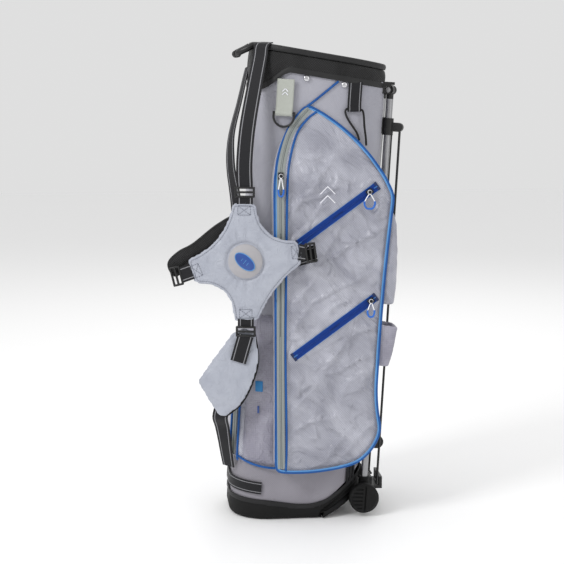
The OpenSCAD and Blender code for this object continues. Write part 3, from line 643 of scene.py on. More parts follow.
# brushed steel, nickel plate: the pins are soft grey, the snaps nearly a mirror
steel = grainMaterial("brushedSteel", "#A8A8AA", "#BBBBBD", 0.3, Metallic=1.0)
chrome = grainMaterial("nickelPlate", "#C9C9CC", "#D6D6D9", 0.14, depth=0.01 * mm, Metallic=1.0)
# powder-coated rod: black with a slight orange peel
powderCoat = grainMaterial("powderCoat", "#141415", "#1C1C1E", 0.42, grain=1.4 * mm, depth=0.06 * mm)
# braided polyester cord: matt white with a fine knobbly face
whiteCord = grainMaterial("braidedCord", "#E6E7EC", "#F2F3F6", 0.6, grain=1.2 * mm, depth=0.3 * mm)
bluePull = grainMaterial("mouldedPull", "#1F5FB8", "#2E72CC", 0.32, IOR=1.5)
darkMetal = grainMaterial("blackZincSlider", "#1B1C1F", "#2A2C31", 0.35, Metallic=0.6)
elastic = tapeMaterial("braidedElastic", "#1B1B1C", [(0.0, "#1B1B1C"), (0.5, "#222223")], rib=1.4 * mm)
blueEnamel = grainMaterial("blueEnamel", "#13408A", "#194B98", 0.35, depth=0.02 * mm, Coat_Weight=0.4)
thread = grainMaterial("sewingThread", "#747884", "#848894", 0.6, grain=0.9 * mm)
# the smooth beige-grey face of the pad's raised disc
discCloth = clothMaterial("brushedJersey", "#ABA9AC", "#A19FA3", 0.6, weave=1.6 * mm, crease=60 * mm,
                          creaseDepth=0.4 * mm, sheenPatchSize=60 * mm)
# cyan-blue woven label
labelCloth = grainMaterial("wovenLabel", "#2A78B4", "#3A8AC4", 0.6, grain=1.4 * mm, depth=0.15 * mm)
whiteThread = grainMaterial("embroideryThread", "#E2E3EA", "#F0F0F5", 0.5, grain=1.1 * mm, depth=0.3 * mm)
print("materials made")


# CAD nodes that stay
keptFinishes = {
    "bottom_frame": innerPlastic, "top_collar": innerPlastic, "top_divider": blackPlastic,
    "divider_long": lining, "divider_cross": lining, "spine_stay": innerPlastic, "side_stays": aluminium,
    "leg_bracket": blackPlastic, "leg_pins": steel, "leg_clip": blackPlastic, "rod_bracket": blackPlastic,
    "d_ring": blackPlastic,
}
for side in ("near", "far"):
    keptFinishes.update({side + "_hinge": blackPlastic, side + "_leg": aluminium,
                         side + "_clamp": blackPlastic, side + "_foot": bootRubber,
                         side + "_rod": powderCoat})
for zipName in ("upper", "lower", "side", "ball"):
    keptFinishes[zipName + "_slider"] = darkMetal
for node, material in keptFinishes.items():
    paint(frame["nodes"][node], material)
print("frame parts painted")


# camera, floor and light
cameraSettings = {"azimuth": -6.0, "distance": 2.6, "height": 0.80, "target": (-0.021, 0.0, 0.42),
                  "lens": 90.8}
target = Vector(cameraSettings["target"])
azimuth = math.radians(cameraSettings["azimuth"])
elevation = math.asin((cameraSettings["height"] - target.z) / cameraSettings["distance"])
back = Vector((math.sin(azimuth) * math.cos(elevation), -math.cos(azimuth) * math.cos(elevation),
               math.sin(elevation)))
deselectAll()
bpy.ops.object.camera_add(location=target + back * cameraSettings["distance"])
camera = bpy.context.object
camera.rotation_mode = "QUATERNION"
camera.rotation_quaternion = (-back).to_track_quat("-Z", "Y")
camera.data.sensor_width = 36
camera.data.lens = cameraSettings["lens"]
bpy.context.scene.camera = camera

studioSettings = {"floor": 14, "lightsAim": (0, 0, 0.42), "skyStrength": 0.74}
deselectAll()
bpy.ops.mesh.primitive_plane_add(size=studioSettings["floor"], location=(0, 0, -0.4 * mm))
floor = bpy.context.object
floor.name = "studioFloor"
paint(floor, newMaterial("mattFloor", "#FDFDFD", 0.9)[0])

lightSettings = {
    "keyLight": ((-1.9, -1.5, 2.1), 0.8, 36),
    "fillLight": ((1.9, -1.8, 1.2), 1.6, 6),
    "rimLight": ((0.6, 2.0, 2.2), 1.6, 13),
    "topLight": ((-0.2, 0.4, 2.9), 1.4, 5),
}
for name, (place, size, power) in lightSettings.items():
    deselectAll()
    bpy.ops.object.light_add(type="AREA", location=place)
    lamp = bpy.context.object
    lamp.name = name
    lamp.data.size = size
    lamp.data.energy = power
    lamp.rotation_mode = "QUATERNION"
    lamp.rotation_quaternion = (Vector(studioSettings["lightsAim"]) - Vector(place)).to_track_quat("-Z", "Y")
world = bpy.data.worlds.new("paleStudio")
bpy.context.scene.world = world
world.use_nodes = True
world.node_tree.nodes["Background"].inputs["Color"].default_value = (1, 1, 1, 1)
world.node_tree.nodes["Background"].inputs["Strength"].default_value = studioSettings["skyStrength"]
bpy.context.scene.view_settings.view_transform = "Standard"
print("camera and light set")


# boot and toe
toeHinge = Vector(jointNamed("toe_flip")["pos_m"])
bootSettings = {"grow": 2.2 * mm, "clearSlope": 40, "toeSlope": 28, "clearLift": 14.75 * mm,
                "toeThick": 9 * mm, "band": 9.5 * mm, "bandProud": 1.3 * mm, "roundHeight": 15 * mm,
                "roundIn": 9 * mm, "creaseRoom": 4.8 * mm, "columns": 168, "rows": 26,
                "outsideShare": 0.8, "turnedIn": 12 * mm, "pleats": 3, "pleatDepth": 1.8 * mm,
                "topEdge": [(-0.130, 0.042), (-0.060, 0.038), (-0.010, 0.030), (0.020, 0.029),
                            (0.045, 0.036), (0.118, 0.084), (0.140, 0.098)]}


def columnPoint(p, y, z):
    # the point of the leaning column at a height above the floor
    return bagPoint(p, y, (z + p * leanSin) / leanCos)


def bootTop(x):
    xs, zs = zip(*bootSettings["topEdge"])
    return sum(np.interp(x + shift, xs, zs) for shift in (-0.008, -0.004, 0, 0.004, 0.008)) / 5


def clearLine(x, lift=0.0):
    return (bootSettings["clearLift"] + lift
            + (x - toeHinge.x) * math.tan(math.radians(bootSettings["clearSlope"])))


def bootLow(x):
    return max(0.0, clearLine(x)) if x > toeHinge.x else 0.0


def makeBoot():
    grow, proud = bootSettings["grow"], bootSettings["bandProud"]

    def place(u, v):
        p, y, normal = ovalPoint(u, grow)
        x = p / leanCos
        low, top = bootLow(x + bootSettings["creaseRoom"]), bootTop(x)
        outside = v / bootSettings["outsideShare"]
        if outside <= 1:
            z = low + (top - low) * outside
            shift = 0.0
            if low == 0 and z < bootSettings["roundHeight"]:
                bend = 1 - z / bootSettings["roundHeight"]
                shift = -bootSettings["roundIn"] * (1 - math.sqrt(max(0.0, 1 - bend * bend)))
            edge = (top - z) / bootSettings["band"]
            if edge < 1:
                shift += proud * min(1.0, 4 * edge + 0.35, 6 * (1 - edge))
        else:
            back = (outside - 1) * 4
            z = top - back * bootSettings["turnedIn"]
            shift = -grow * min(1.0, back * 3) + 0.3 * mm
        return columnPoint(p + normal[0] * shift, y + normal[1] * shift, z)
    wall = gridSheet("bootWall", bootSettings["columns"], bootSettings["rows"], place)
    mergeAndFace(wall)
    smooth(wall, 35)
    return wall


def makeSole():
    count = 96
    outline = []
    for i in range(count):
        p, y, normal = ovalPoint(i / count, bootSettings["grow"] - bootSettings["roundIn"])
        outline.append((min(p, toeHinge.x - 0.4 * mm), y))
    sole = prism("bootSole", outline, lambda a, b, z: Vector((a, b, z)), 0.0, 6 * mm)
    editAll(sole, lambda: bpy.ops.mesh.remove_doubles(threshold=0.4 * mm))
    applyModifier(sole, "BEVEL", width=1.2 * mm, segments=2, limit_method="ANGLE")
    smooth(sole)
    return sole


def makeToe():
    slope = math.tan(math.radians(bootSettings["toeSlope"]))
    thick = bootSettings["toeThick"] / math.cos(math.radians(bootSettings["toeSlope"]))
    start = toeHinge.x + 0.8 * mm
    around = []
    for i in range(200):
        p, y, normal = ovalPoint(i / 200, bootSettings["grow"])
        if p / leanCos > start:
            around.append((p / leanCos, y))
    around = [(start, around[0][1] - 1 * mm)] + around + [(start, around[-1][1] + 1 * mm)]
    outline = [(q.x, q.y) for q in evenly([Vector((a, b, 0)) for a, b in around], 4 * mm, closed=True)]
    toe = prism("toeCap", outline, lambda a, b, z: Vector((a, b, z)), 0.0, thick)
    found = coordinates(toe)
    found[:, 2] += (found[:, 0] - toeHinge.x) * slope
    edge = found[:, 0] < start + 1 * mm
    found[:, 0] += found[:, 2] * np.where(edge, 0.27, leanSin * 0.6)
    setCoordinates(toe, found)
    applyModifier(toe, "BEVEL", width=2.4 * mm, segments=3, limit_method="ANGLE",
                  angle_limit=math.radians(50))
    smooth(toe)
    return toe


def makeBellows():
    slope = math.tan(math.radians(bootSettings["toeSlope"]))
    thick = bootSettings["toeThick"] / math.cos(math.radians(bootSettings["toeSlope"]))
    start = toeHinge.x + 5 * mm

    def place(u, v):
        share = 0.5 + (u - 0.5) * 0.62
        p, y, normal = ovalPoint(share, 0.6 * mm)
        x = max(p / leanCos, start)
        low = (x - toeHinge.x) * slope + thick - 1.5 * mm
        high = max(clearLine(x, 2.5 * mm), low + 2 * mm)
        fold = -bootSettings["pleatDepth"] * abs(math.sin(v * bootSettings["pleats"] * math.pi))
        return columnPoint(p + normal[0] * fold, y + normal[1] * fold, low + (high - low) * v)
    bellows = gridSheet("toeBellows", 84, 18, place)
    applyModifier(bellows, "SOLIDIFY", thickness=1.2 * mm, offset=-1)
    mergeAndFace(bellows)
    smooth(bellows)
    paint(bellows, bootRubber)
    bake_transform(bellows)
    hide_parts("toe_gusset")


boot = makeBoot()
paint(boot, bootRubber)
boot.data.materials.append(trimRubber)
for polygon in boot.data.polygons:
    centre = polygon.center
    if bootTop(centre.x) - centre.z < bootSettings["band"] and ovalDepth(
            centre.x * leanCos - centre.z * leanSin, centre.y) > 1.5 * mm:
        polygon.material_index = 1
finish(boot, "root", "boot_rubber", "base_cup")
sole = makeSole()
paint(sole, bootRubber)
finish(sole, "root", "boot_rubber")
toeCap = makeToe()
paint(toeCap, bootRubber)
finish(toeCap, "toe", "boot_rubber", "toe_plate")
makeBellows()
print("boot made")


# body
bodySettings = {"thick": 1.2 * mm, "sag": 0.8 * mm, "rows": 96, "columns": 176, "seamDepth": 0.7 * mm,
                "seams": (0.055, 0.945, 0.5), "skirtTop": 112 * mm}


def makeBody():
    def place(u, v):
        p, y, normal = ovalPoint(u)
        x = p / leanCos
        low = ((bootLow(x + 7 * mm) + 9 * mm) + p * leanSin) / leanCos
        high = rimHeight(p) - 14 * mm
        s = low + (high - low) * v
        pull = (0.6 * noise.noise(Vector((u * 9, s * 6, 1.5)))
                + 0.5 * noise.noise(Vector((u * 26, s * 9, 7.5))))
        fade = min(1.0, v * 6, (1 - v) * 5)
        shift = -0.5 * mm + bodySettings["sag"] * pull * fade
        for seam in bodySettings["seams"]:
            shift -= bodySettings["seamDepth"] * math.exp(-((u - seam) / 0.003) ** 2)
        return bagPoint(p + normal[0] * shift, y + normal[1] * shift, s)
    body = gridSheet("bodyCloth", bodySettings["columns"], bodySettings["rows"], place)
    editAll(body, lambda: bpy.ops.mesh.remove_doubles(threshold=0.05 * mm),
            lambda: bpy.ops.mesh.normals_make_consistent(inside=False))
    applyModifier(body, "SOLIDIFY", thickness=bodySettings["thick"], offset=-1)
    smooth(body, 60)
    return body


body = makeBody()
paint(body, wallCloth)
body.data.materials.append(skirtCloth)
for polygon in body.data.polygons:
    polygon.material_index = 1 if polygon.center.z < bodySettings["skirtTop"] else 0
finish(body, "root", "grey_fabric", "body_shell")
print("body made")


# collar, rim and handle
collarSettings = {"depth": 33 * mm, "spineDrop": 38 * mm, "puff": 2.4 * mm, "trim": 9 * mm,
                  "columns": 200, "rows": 16, "trimRows": 8, "thick": 4 * mm, "trimThick": 3.4 * mm}


def collarLow(p):
    # the cover's lower edge: level with the rim, and deeper round the spine
    turn = min(max((p + 62 * mm) / (-55 * mm), 0), 1)
    drop = turn * turn * (3 - 2 * turn) * collarSettings["spineDrop"]
    return rimHeight(p) - collarSettings["depth"] - drop


def makeCollar():
    def place(u, v):
        p, y, normal = ovalPoint(u, collarGrow, collarMid)
        high, low = rimHeight(p) - 2 * mm, collarLow(p) + collarSettings["trim"] - 1.5 * mm
        puff = collarSettings["puff"] * math.sin(math.pi * min(1, v * 1.02)) ** 0.6 - 0.6 * mm
        s = low + (high - low) * v
        return bagPoint(p + normal[0] * puff, y + normal[1] * puff, s)
    pad = gridSheet("collarPad", collarSettings["columns"], collarSettings["rows"], place)
    applyModifier(pad, "SOLIDIFY", thickness=collarSettings["thick"], offset=-1)
    mergeAndFace(pad)
    smooth(pad, 60)

    def placeTrim(u, v):
        p, y, normal = ovalPoint(u, collarGrow, collarMid)
        bulge = 0.5 * mm + 1.2 * mm * math.sin(math.pi * v) ** 0.5
        s = collarLow(p) + (collarSettings["trim"] + 1 * mm) * v
        return bagPoint(p + normal[0] * bulge, y + normal[1] * bulge, s)
    trim = gridSheet("collarTrim", collarSettings["columns"], collarSettings["trimRows"], placeTrim)
    applyModifier(trim, "SOLIDIFY", thickness=collarSettings["trimThick"], offset=-1)
    mergeAndFace(trim)
    smooth(trim, 60)
    return pad, trim


rimSettings = {"half": 6.6 * mm, "tall": 5.6 * mm, "inwards": 5 * mm, "lift": 4.6 * mm, "squareness": 0.7}
handleSettings = {"radius": 5.6 * mm, "ribs": 9, "ribPitch": 6 * mm, "ribRadius": 0.7 * mm}


def makeRim():
    half, tall, power = rimSettings["half"], rimSettings["tall"], rimSettings["squareness"]

    def place(u, v):
        turn = 2 * math.pi * v
        outward = half * math.copysign(abs(math.cos(turn)) ** power, math.cos(turn))
        up = tall * math.copysign(abs(math.sin(turn)) ** power, math.sin(turn))
        p, y, normal = ovalPoint(u, collarGrow, collarMid)
        reach = outward - rimSettings["inwards"]
        s = rimHeight(p) + rimSettings["lift"] + up
        return bagPoint(p + normal[0] * reach, y + normal[1] * reach, s)
    rim = gridSheet("rimBinding", 200, 16, place)
    mergeAndFace(rim, 0.05 * mm)
    smooth(rim, 60)
    return rim


def makeHandle():
    lowest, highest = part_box("lift_handle")
    out = lowest.x + 6 * mm
    half = (highest.y - lowest.y) / 2 - 6 * mm
    base = highest.x - 2 * mm
    low, high = lowest.z + 8 * mm, highest.z - 4 * mm
    route = [(base, -half, high), (out + 16 * mm, -half, low + 9 * mm),
             (out + 3 * mm, -half + 6 * mm, low + 3 * mm), (out, -half + 18 * mm, low),
             (out, half - 18 * mm, low), (out + 3 * mm, half - 6 * mm, low + 3 * mm),
             (out + 16 * mm, half, low + 9 * mm), (base, half, high)]
    handle = tube("liftHandle", smoothPath(route, 3 * mm), handleSettings["radius"], sides=4)
    grips = []
    for i in range(handleSettings["ribs"]):
        y = (i - 4) * handleSettings["ribPitch"]
        rib = [Vector((out - 0.2 * mm + math.cos(t) * 6 * mm, y, low + math.sin(t) * 6 * mm))
               for t in np.linspace(0, 2 * math.pi, 24, endpoint=False)]
        grips.append(tube("gripRib", rib, handleSettings["ribRadius"], True, 1))
    return join("liftHandle", [handle] + grips)


collarPad, collarTrim = makeCollar()
paint(collarPad, spacerMesh)
finish(collarPad, "root", "black_fabric", "collar_padding")
paint(collarTrim, binding)
finish(collarTrim, "root", "black_fabric")
rim = makeRim()
paint(rim, binding)
finish(rim, "root", "webbing", "rim_binding")
handle = makeHandle()
paint(handle, blackPlastic)
finish(handle, "root", "black_plastic", "lift_handle")
print("collar made")


# main pocket
front = bagPoints("main_pocket")
frontDepth = -front[:, 1].min()
pocketTop = front[:, 2].max()
pocketSettings = {
    "taperFrom": pocketTop - 118 * mm, "taperTo": pocketTop - 38 * mm, "patchDepth": bodySide + 2.5 * mm,
    "voxel": 5.5 * mm, "pressure": 3.5, "cap": 8 * mm, "inset": 5 * mm, "backDepth": 14 * mm,
    "crumple": (3.4 * mm, 60 * mm), "pleats": [(5.4 * mm, 46 * mm, 6.0, 35), (3.4 * mm, 27 * mm, 9.0, -50)],
    "flatBand": 12 * mm, "seamBand": 3 * mm, "leastShare": 0.05,
    "innerLine": [(-34, 99), (-36, 155), (-48, 317), (-57, 493), (-62, 600), (-60, 645), (-48, 692),
                  (-30, 719), (-15, 732)],
    "zipLine": [(-42, 103), (-46, 155), (-57, 317), (-67, 493), (-74, 600), (-73, 642), (-61, 689),
                (-42, 721), (-29, 737)],
}
innerLine = [(a * mm, b * mm) for a, b in pocketSettings["innerLine"]]
zipLine = [(a * mm, b * mm) for a, b in pocketSettings["zipLine"]]


def frontAt(s):
    # how far out the pocket's front lies at a height
    low, high = pocketSettings["taperFrom"], pocketSettings["taperTo"]
    part = min(max((s - low) / (high - low), 0), 1)
    return frontDepth + (pocketSettings["patchDepth"] - frontDepth) * part


def zipEnds(node):
    found = bagPoints(node)
    ends = [found[np.argmin(found[:, 2])], found[np.argmax(found[:, 2])]]
    slope = Vector((ends[1][0] - ends[0][0], ends[1][2] - ends[0][2])).normalized()
    side = Vector((-slope.y, slope.x)) * 7 * mm
    return [(ends[0][0] + side.x, ends[0][2] + side.y), (ends[1][0] - side.x, ends[1][2] - side.y)]


upperZip, lowerZip = zipEnds("upper_zip_tape"), zipEnds("lower_zip_tape")
pocketOutline = sortedOutline([(q[0], q[2]) for q in front], 5 * mm, 5)


def makePocket():
    held = pocketOutline + [pocketOutline[0]]
    inner = insetOutline(pocketOutline, -2 * mm)
    base = -bodySide + pocketSettings["backDepth"]
    rest = frontDepth - pocketSettings["inset"]
    pocket = prism("mainPocket", inner, lambda a, b, y: Vector((a, y, b)), -rest, base)
    applyModifier(pocket, "REMESH", mode="VOXEL", voxel_size=pocketSettings["voxel"])
    found = coordinates(pocket)
    for i, (p, y, s) in enumerate(found):
        depth = ovalDepth(p, y, clothGap)
        if depth < 0:
            # push the back out onto the body
            found[i][1] = -bodySide - clothGap if abs(p - bodyMid) < bodyHalf - cornerRadius else y
            awayP = max(0.0, abs(p - bodyMid) - (bodyHalf - cornerRadius))
            if awayP > 0:
                lift = math.sqrt(max(0.0, (cornerRadius + clothGap) ** 2 - awayP ** 2))
                found[i][1] = -(bodySide - cornerRadius) - lift
    setCoordinates(pocket, found)

    def hold(q):
        if q.y > -rest + 6 * mm:
            return 1.0
        near = min(lineDistance(q.x, q.z, held) - 3 * mm, lineDistance(q.x, q.z, innerLine) - 2 * mm,
                   lineDistance(q.x, q.z, upperZip) - 7 * mm, lineDistance(q.x, q.z, lowerZip) - 7 * mm)
        return min(1.0, max(0.0, 1 - near / (7 * mm)))
    swell(pocket, hold, pocketSettings["pressure"], pocketSettings["cap"])

    def loose(q):
        if q.y > -rest + 4 * mm:
            return 0.0
        near = min(lineDistance(q.x, q.z, held), lineDistance(q.x, q.z, upperZip) - 5 * mm,
                   lineDistance(q.x, q.z, lowerZip) - 5 * mm, lineDistance(q.x, q.z, innerLine))
        return min(1.0, max(0.0, near / (22 * mm)))
    applyModifier(pocket, "SUBSURF", levels=1, render_levels=1)
    crumple(pocket, *pocketSettings["crumple"], loose, 2.0, (1.5, 1, 0.75))
    for depth, size, seed, turn in pocketSettings["pleats"]:
        pleat(pocket, depth, size, loose, seed, math.radians(turn))
    found = coordinates(pocket)
    for i, (p, y, s) in enumerate(found):
        if y > -rest + 12 * mm:
            continue
        edge = lineDistance(p, s, held)
        strip = min(lineDistance(p, s, zipLine) - 7 * mm, lineDistance(p, s, upperZip) - 9 * mm,
                    lineDistance(p, s, lowerZip) - 9 * mm)
        flat = 1 - min(max(strip / pocketSettings["flatBand"], 0), 1)
        flat = flat * flat * (3 - 2 * flat)
        y = y * (1 - flat) + (-frontDepth + 0.6 * mm) * flat
        if edge < pocketSettings["seamBand"]:
            y = max(y, -frontDepth + 2 * mm)
        found[i][1] = y
    # the top leans back and lies on the body
    for i, (p, y, s) in enumerate(found):
        share = (frontAt(s) - bodySide) / (frontDepth - bodySide)
        if y < -bodySide:
            found[i][1] = -bodySide + (y + bodySide) * max(share, pocketSettings["leastShare"])
    for i, (p, y, s) in enumerate(found):
        found[i] = bagPoint(p, y, s)
    setCoordinates(pocket, found)
    smooth(pocket, 70)
    return pocket


pocket = makePocket()
paint(pocket, nylon)
finish(pocket, "root", "grey_fabric", "main_pocket")
print("main pocket made")


# piping
pipingSettings = {"radius": 2.1 * mm, "flangeWide": 2.6 * mm, "flangeThick": 0.9 * mm}


def onFront(p, s, lift=0.0):
    return bagPoint(p, -frontAt(s) - lift, s)


def pipe(name, points, closed=False):
    # one run of round piping
    piece = tube(name, points, pipingSettings["radius"], closed, 3)
    paint(piece, bluePiping)
    return piece


def frontSides(path):
    # the direction of a band's width at each point of a path on the pocket's front
    last = len(path) - 1
    steps = [path[min(i + 1, last)] - path[max(i - 1, 0)] for i in range(len(path))]
    return [step.normalized().cross(Vector((0, 1, 0))).normalized() for step in steps]


def makePiping():
    ring = insetOutline(pocketOutline, -0.8 * mm)
    loop = [onFront(a, b, -0.4 * mm) for a, b in ring]
    outer = pipe("pocketPiping", evenly(loop, 3.5 * mm, True), True)
    finish(outer, "root", "blue_piping", "pocket_piping")
    inner = pipe("innerPiping", smoothPath([onFront(a, b, 0.6 * mm) for a, b in innerLine], 3.5 * mm))
    finish(inner, "root", "blue_piping")
    flangeRing = insetOutline(pocketOutline, 2.2 * mm)
    path = evenly([onFront(a, b, 0.5 * mm) for a, b in flangeRing], 4 * mm, True)
    path = path + [path[0]]
    # the pale edge of cloth sewn in beside it
    flange = ribbon("pipingFlange", path, frontSides(path), pipingSettings["flangeWide"],
                    pipingSettings["flangeThick"], 0.0, 2)
    paint(flange, paleBlue)
    finish(flange, "root", "blue_piping")
    # the seam that runs from the pocket's point up to the collar
    apex = max(pocketOutline, key=lambda q: q[1])
    branch = [(apex[0] - 2 * mm, apex[1] + 1 * mm), (apex[0] + 16 * mm, apex[1] + 16 * mm),
              (apex[0] + 50 * mm, apex[1] + 47 * mm)]
    upwards = [bagPoint(a, -bodySide - 1.2 * mm, b) for a, b in branch]
    lineUp = pipe("collarPiping", smoothPath(upwards, 3 * mm))
    finish(lineUp, "root", "blue_piping")


makePiping()
print("piping made")


# zips and pulls
zipSettings = {"lift": 0.8 * mm, "width": 15 * mm, "thick": 1.0 * mm, "coil": 1.1 * mm, "stopLift": 1.2 * mm,
               "sideWidth": 13 * mm, "sideLift": 0.7 * mm, "sideCoil": 1.0 * mm}


def makeZip(name, line, width, lift, material, slot, node):
    # the flat tape of a zip on the pocket's front
    path = evenly([onFront(a, b, lift) for a, b in line], 5 * mm)
    tape = ribbon(name, path, frontSides(path), width, zipSettings["thick"], 0.0, 8)
    paint(tape, material)
    finish(tape, "root", slot, node)


def frontZip(name, ends, node):
    (a0, b0), (a1, b1) = ends
    line = [(a0, b0), (a1, b1)]
    width = zipSettings["width"]
    makeZip(name, line, width, zipSettings["lift"], blueZip, "zip_tape", node)
    middle = [onFront(a, b, zipSettings["lift"] + 0.7 * mm) for a, b in line]
    teeth = tube(name + "Coil", evenly(middle, 6 * mm), zipSettings["coil"], sides=1)
    along = onFront(a1, b1) - onFront(a0, b0)
    along.normalize()
    paint(teeth, blueZip)
    finish(teeth, "root", "zip_tape")
    # bound ends
    for number, (a, b) in enumerate(line):
        turn = Matrix.Rotation(-math.atan2(along.z, along.x), 4, "Y")
        spot = Matrix.Translation(onFront(a, b, zipSettings["stopLift"]))
        size = Matrix.Diagonal((5 * mm, 1.8 * mm, width + 1 * mm, 1))
        stop = block(f"{name}End{number + 1}", spot @ turn @ size, 0.8 * mm, 3)
        smooth(stop)
        paint(stop, navyStop)
        finish(stop, "root", "zip_tape")


frontZip("upperZip", upperZip, "upper_zip_tape")
frontZip("lowerZip", lowerZip, "lower_zip_tape")

sideZipPath = [(q.x, q.y) for q in smoothPath([(a, b, 0) for a, b in zipLine], 6 * mm)]
makeZip("sideZip", sideZipPath, zipSettings["sideWidth"], zipSettings["sideLift"], greyZip, "grey_zip",
        "side_zip_tape")
sideCoil = tube("sideZipCoil", evenly([onFront(a, b, 1.3 * mm) for a, b in sideZipPath], 6 * mm),
                zipSettings["sideCoil"], sides=1)
paint(sideCoil, greyZip)
finish(sideCoil, "root", "grey_zip")


def makePull(name, wide, strand, tip, right, up, out, origin, body, node):
    # round eye, two white cords and a moulded blue tip
    def at(a, b, c=0.0):
        return origin + right * a * mm + up * b * mm + out * (c + 4.2) * mm
    eye = tube(name + "Eye", [at(3.1 * math.cos(t), 3.1 * math.sin(t)) for t in
                              np.linspace(0, 2 * math.pi, 20, endpoint=False)], 0.75 * mm, True, 2)
    paint(eye, whiteCord)
    half = wide / 2
    cords = smoothPath([at(-half, -strand), at(-half * 0.55, -strand * 0.55), at(-0.8, -3.4, 0.4),
                        at(0.8, -3.4, 0.4), at(half * 0.55, -strand * 0.55), at(half, -strand)], 1.2 * mm)
    loop = tube(name + "Cord", cords, 0.95 * mm, sides=2)
    paint(loop, whiteCord)
    drop = strand + tip
    curve = smoothPath([at(-half, -strand + 1), at(-half, -strand - tip * 0.4), at(-half * 0.6, -drop + 1),
                        at(0, -drop), at(half * 0.6, -drop + 1), at(half, -strand - tip * 0.4),
                        at(half, -strand + 1)], 1.5 * mm)
    grip = tube(name + "Tip", curve, 1.75 * mm, sides=3)
    paint(grip, bluePull)
    finish(grip, body, "slider_metal")
    finish(loop, body, "pull_white", node)
    finish(eye, body, "pull_white")


eastward, upward, nearward = Vector((1, 0, 0)), Vector((0, 0, 1)), Vector((0, -1, 0))
for name, wide, strand, tip in (("upper", 18, 17, 12), ("lower", 12, 17, 11), ("side", 9, 24, 11)):
    joint = jointNamed(name + "_pull_swing")
    makePull(name + "Pull", wide, strand, tip, eastward, upward, nearward, Vector(joint["pos_m"]),
             name + "_pull_body", name + "_pull")
joint = jointNamed("ball_pull_swing")
outBall = Vector(joint["axis"]).normalized()
if outBall.y > 0:
    outBall = -outBall
makePull("ballPull", 9, 20, 11, upBag.cross(outBall).normalized(), upBag, outBall, Vector(joint["pos_m"]),
         "ball_pull_body", "ball_pull")
print("zips made")


# other pockets
wrapSettings = {"proud": 7.5 * mm, "edgeRound": 12 * mm, "columns": 34, "rows": 90, "aboveNode": 34 * mm}


def wrapPocket(name, shareLow, shareHigh, sLow, sHigh):
    # a flat pocket sewn onto the body: a crowned sheet whose edges sit on the body
    edgeRound = wrapSettings["edgeRound"]

    def place(u, v):
        share = shareLow + (shareHigh - shareLow) * u
        p, y, normal = ovalPoint(share)
        s = sLow + (sHigh - sLow) * v
        wide = min(u, 1 - u) * (shareHigh - shareLow) * 0.6
        tall = min(v, 1 - v) * (sHigh - sLow)
        lift = wrapSettings["proud"] * min(1.0, wide / edgeRound) ** 0.5 * min(1.0, tall / edgeRound) ** 0.5
        lift += 0.5 * mm
        lift += 0.9 * mm * noise.noise(Vector((share * 40, s * 30, 2.2))) * min(1, lift / (3 * mm))
        return bagPoint(p + normal[0] * lift, y + normal[1] * lift, s)
    return gridSheet(name, wrapSettings["columns"], wrapSettings["rows"], place)


def closeOnBody(piece, thick=1.2 * mm):
    applyModifier(piece, "SOLIDIFY", thickness=thick, offset=-1)
    mergeAndFace(piece)
    smooth(piece, 60)


def shareOf(p, y):
    # the walk round the body that comes nearest to a point
    best = min(range(ovalSteps), key=lambda i: (ovalPoint(i / ovalSteps)[0] - p) ** 2
               + (ovalPoint(i / ovalSteps)[1] - y) ** 2)
    return best / ovalSteps


def makeAccessory():
    found = bagPoints("accessory_pocket")
    low, high = found[:, 2].min(), found[:, 2].max()
    startShare = shareOf(-112 * mm, -70 * mm)
    endShare = shareOf(-47 * mm, -bodySide)
    panel = wrapPocket("sidePanel", startShare, endShare, low, high + wrapSettings["aboveNode"])
    closeOnBody(panel)
    paint(panel, ripstop)
    finish(panel, "root", "grey_fabric", "accessory_pocket")
    # the piping along its foot, from the spine to the main pocket
    foot = []
    for k in range(25):
        share = startShare - 0.012 + (endShare + 0.012 - startShare) * k / 24
        p, y, normal = ovalPoint(share, 7 * mm)
        foot.append(bagPoint(p, y, low - 3 * mm + 14 * mm * (1 - k / 24) ** 2))
    line = pipe("footPiping", evenly(foot, 3.5 * mm))
    finish(line, "root", "blue_piping")


farSettings = {"outset": 2.5 * mm, "inset": 4 * mm, "backDepth": 10 * mm, "voxel": 7 * mm, "pressure": 3.0,
               "cap": 9 * mm, "crumple": (1.8 * mm, 34 * mm)}


def fillFarPocket(outline, depth):
    # a block on the far side, filled with air while its edges are held
    inner = insetOutline(outline, -farSettings["outset"])
    piece = prism("farPocket", inner, lambda a, b, y: Vector((a, y, b)), depth - farSettings["inset"],
                  bodySide - farSettings["backDepth"])
    applyModifier(piece, "REMESH", mode="VOXEL", voxel_size=farSettings["voxel"])
    found = coordinates(piece)
    for i, (p, y, s) in enumerate(found):
        if ovalDepth(p, y, clothGap) < 0:
            awayP = max(0.0, abs(p - bodyMid) - (bodyHalf - cornerRadius))
            lift = math.sqrt(max(0.0, (cornerRadius + clothGap) ** 2 - awayP ** 2))
            found[i][1] = (bodySide - cornerRadius) + lift
    setCoordinates(piece, found)
    ring = outline + [outline[0]]

    def hold(q):
        if q.y < depth - 12 * mm:
            return 1.0
        return min(1.0, max(0.0, 1 - (lineDistance(q.x, q.z, ring) - 3 * mm) / (8 * mm)))
    swell(piece, hold, farSettings["pressure"], farSettings["cap"])
    applyModifier(piece, "SUBSURF", levels=1, render_levels=1)
    crumple(piece, *farSettings["crumple"], lambda q: min(1, lineDistance(q.x, q.z, ring) / (20 * mm)), 4.0,
            (1, 1, 0.8))
    found = coordinates(piece)
    for i, q in enumerate(found):
        found[i] = bagPoint(*q)
    setCoordinates(piece, found)
    smooth(piece, 70)
    paint(piece, nylon)
    finish(piece, "root", "grey_fabric", "far_pocket")


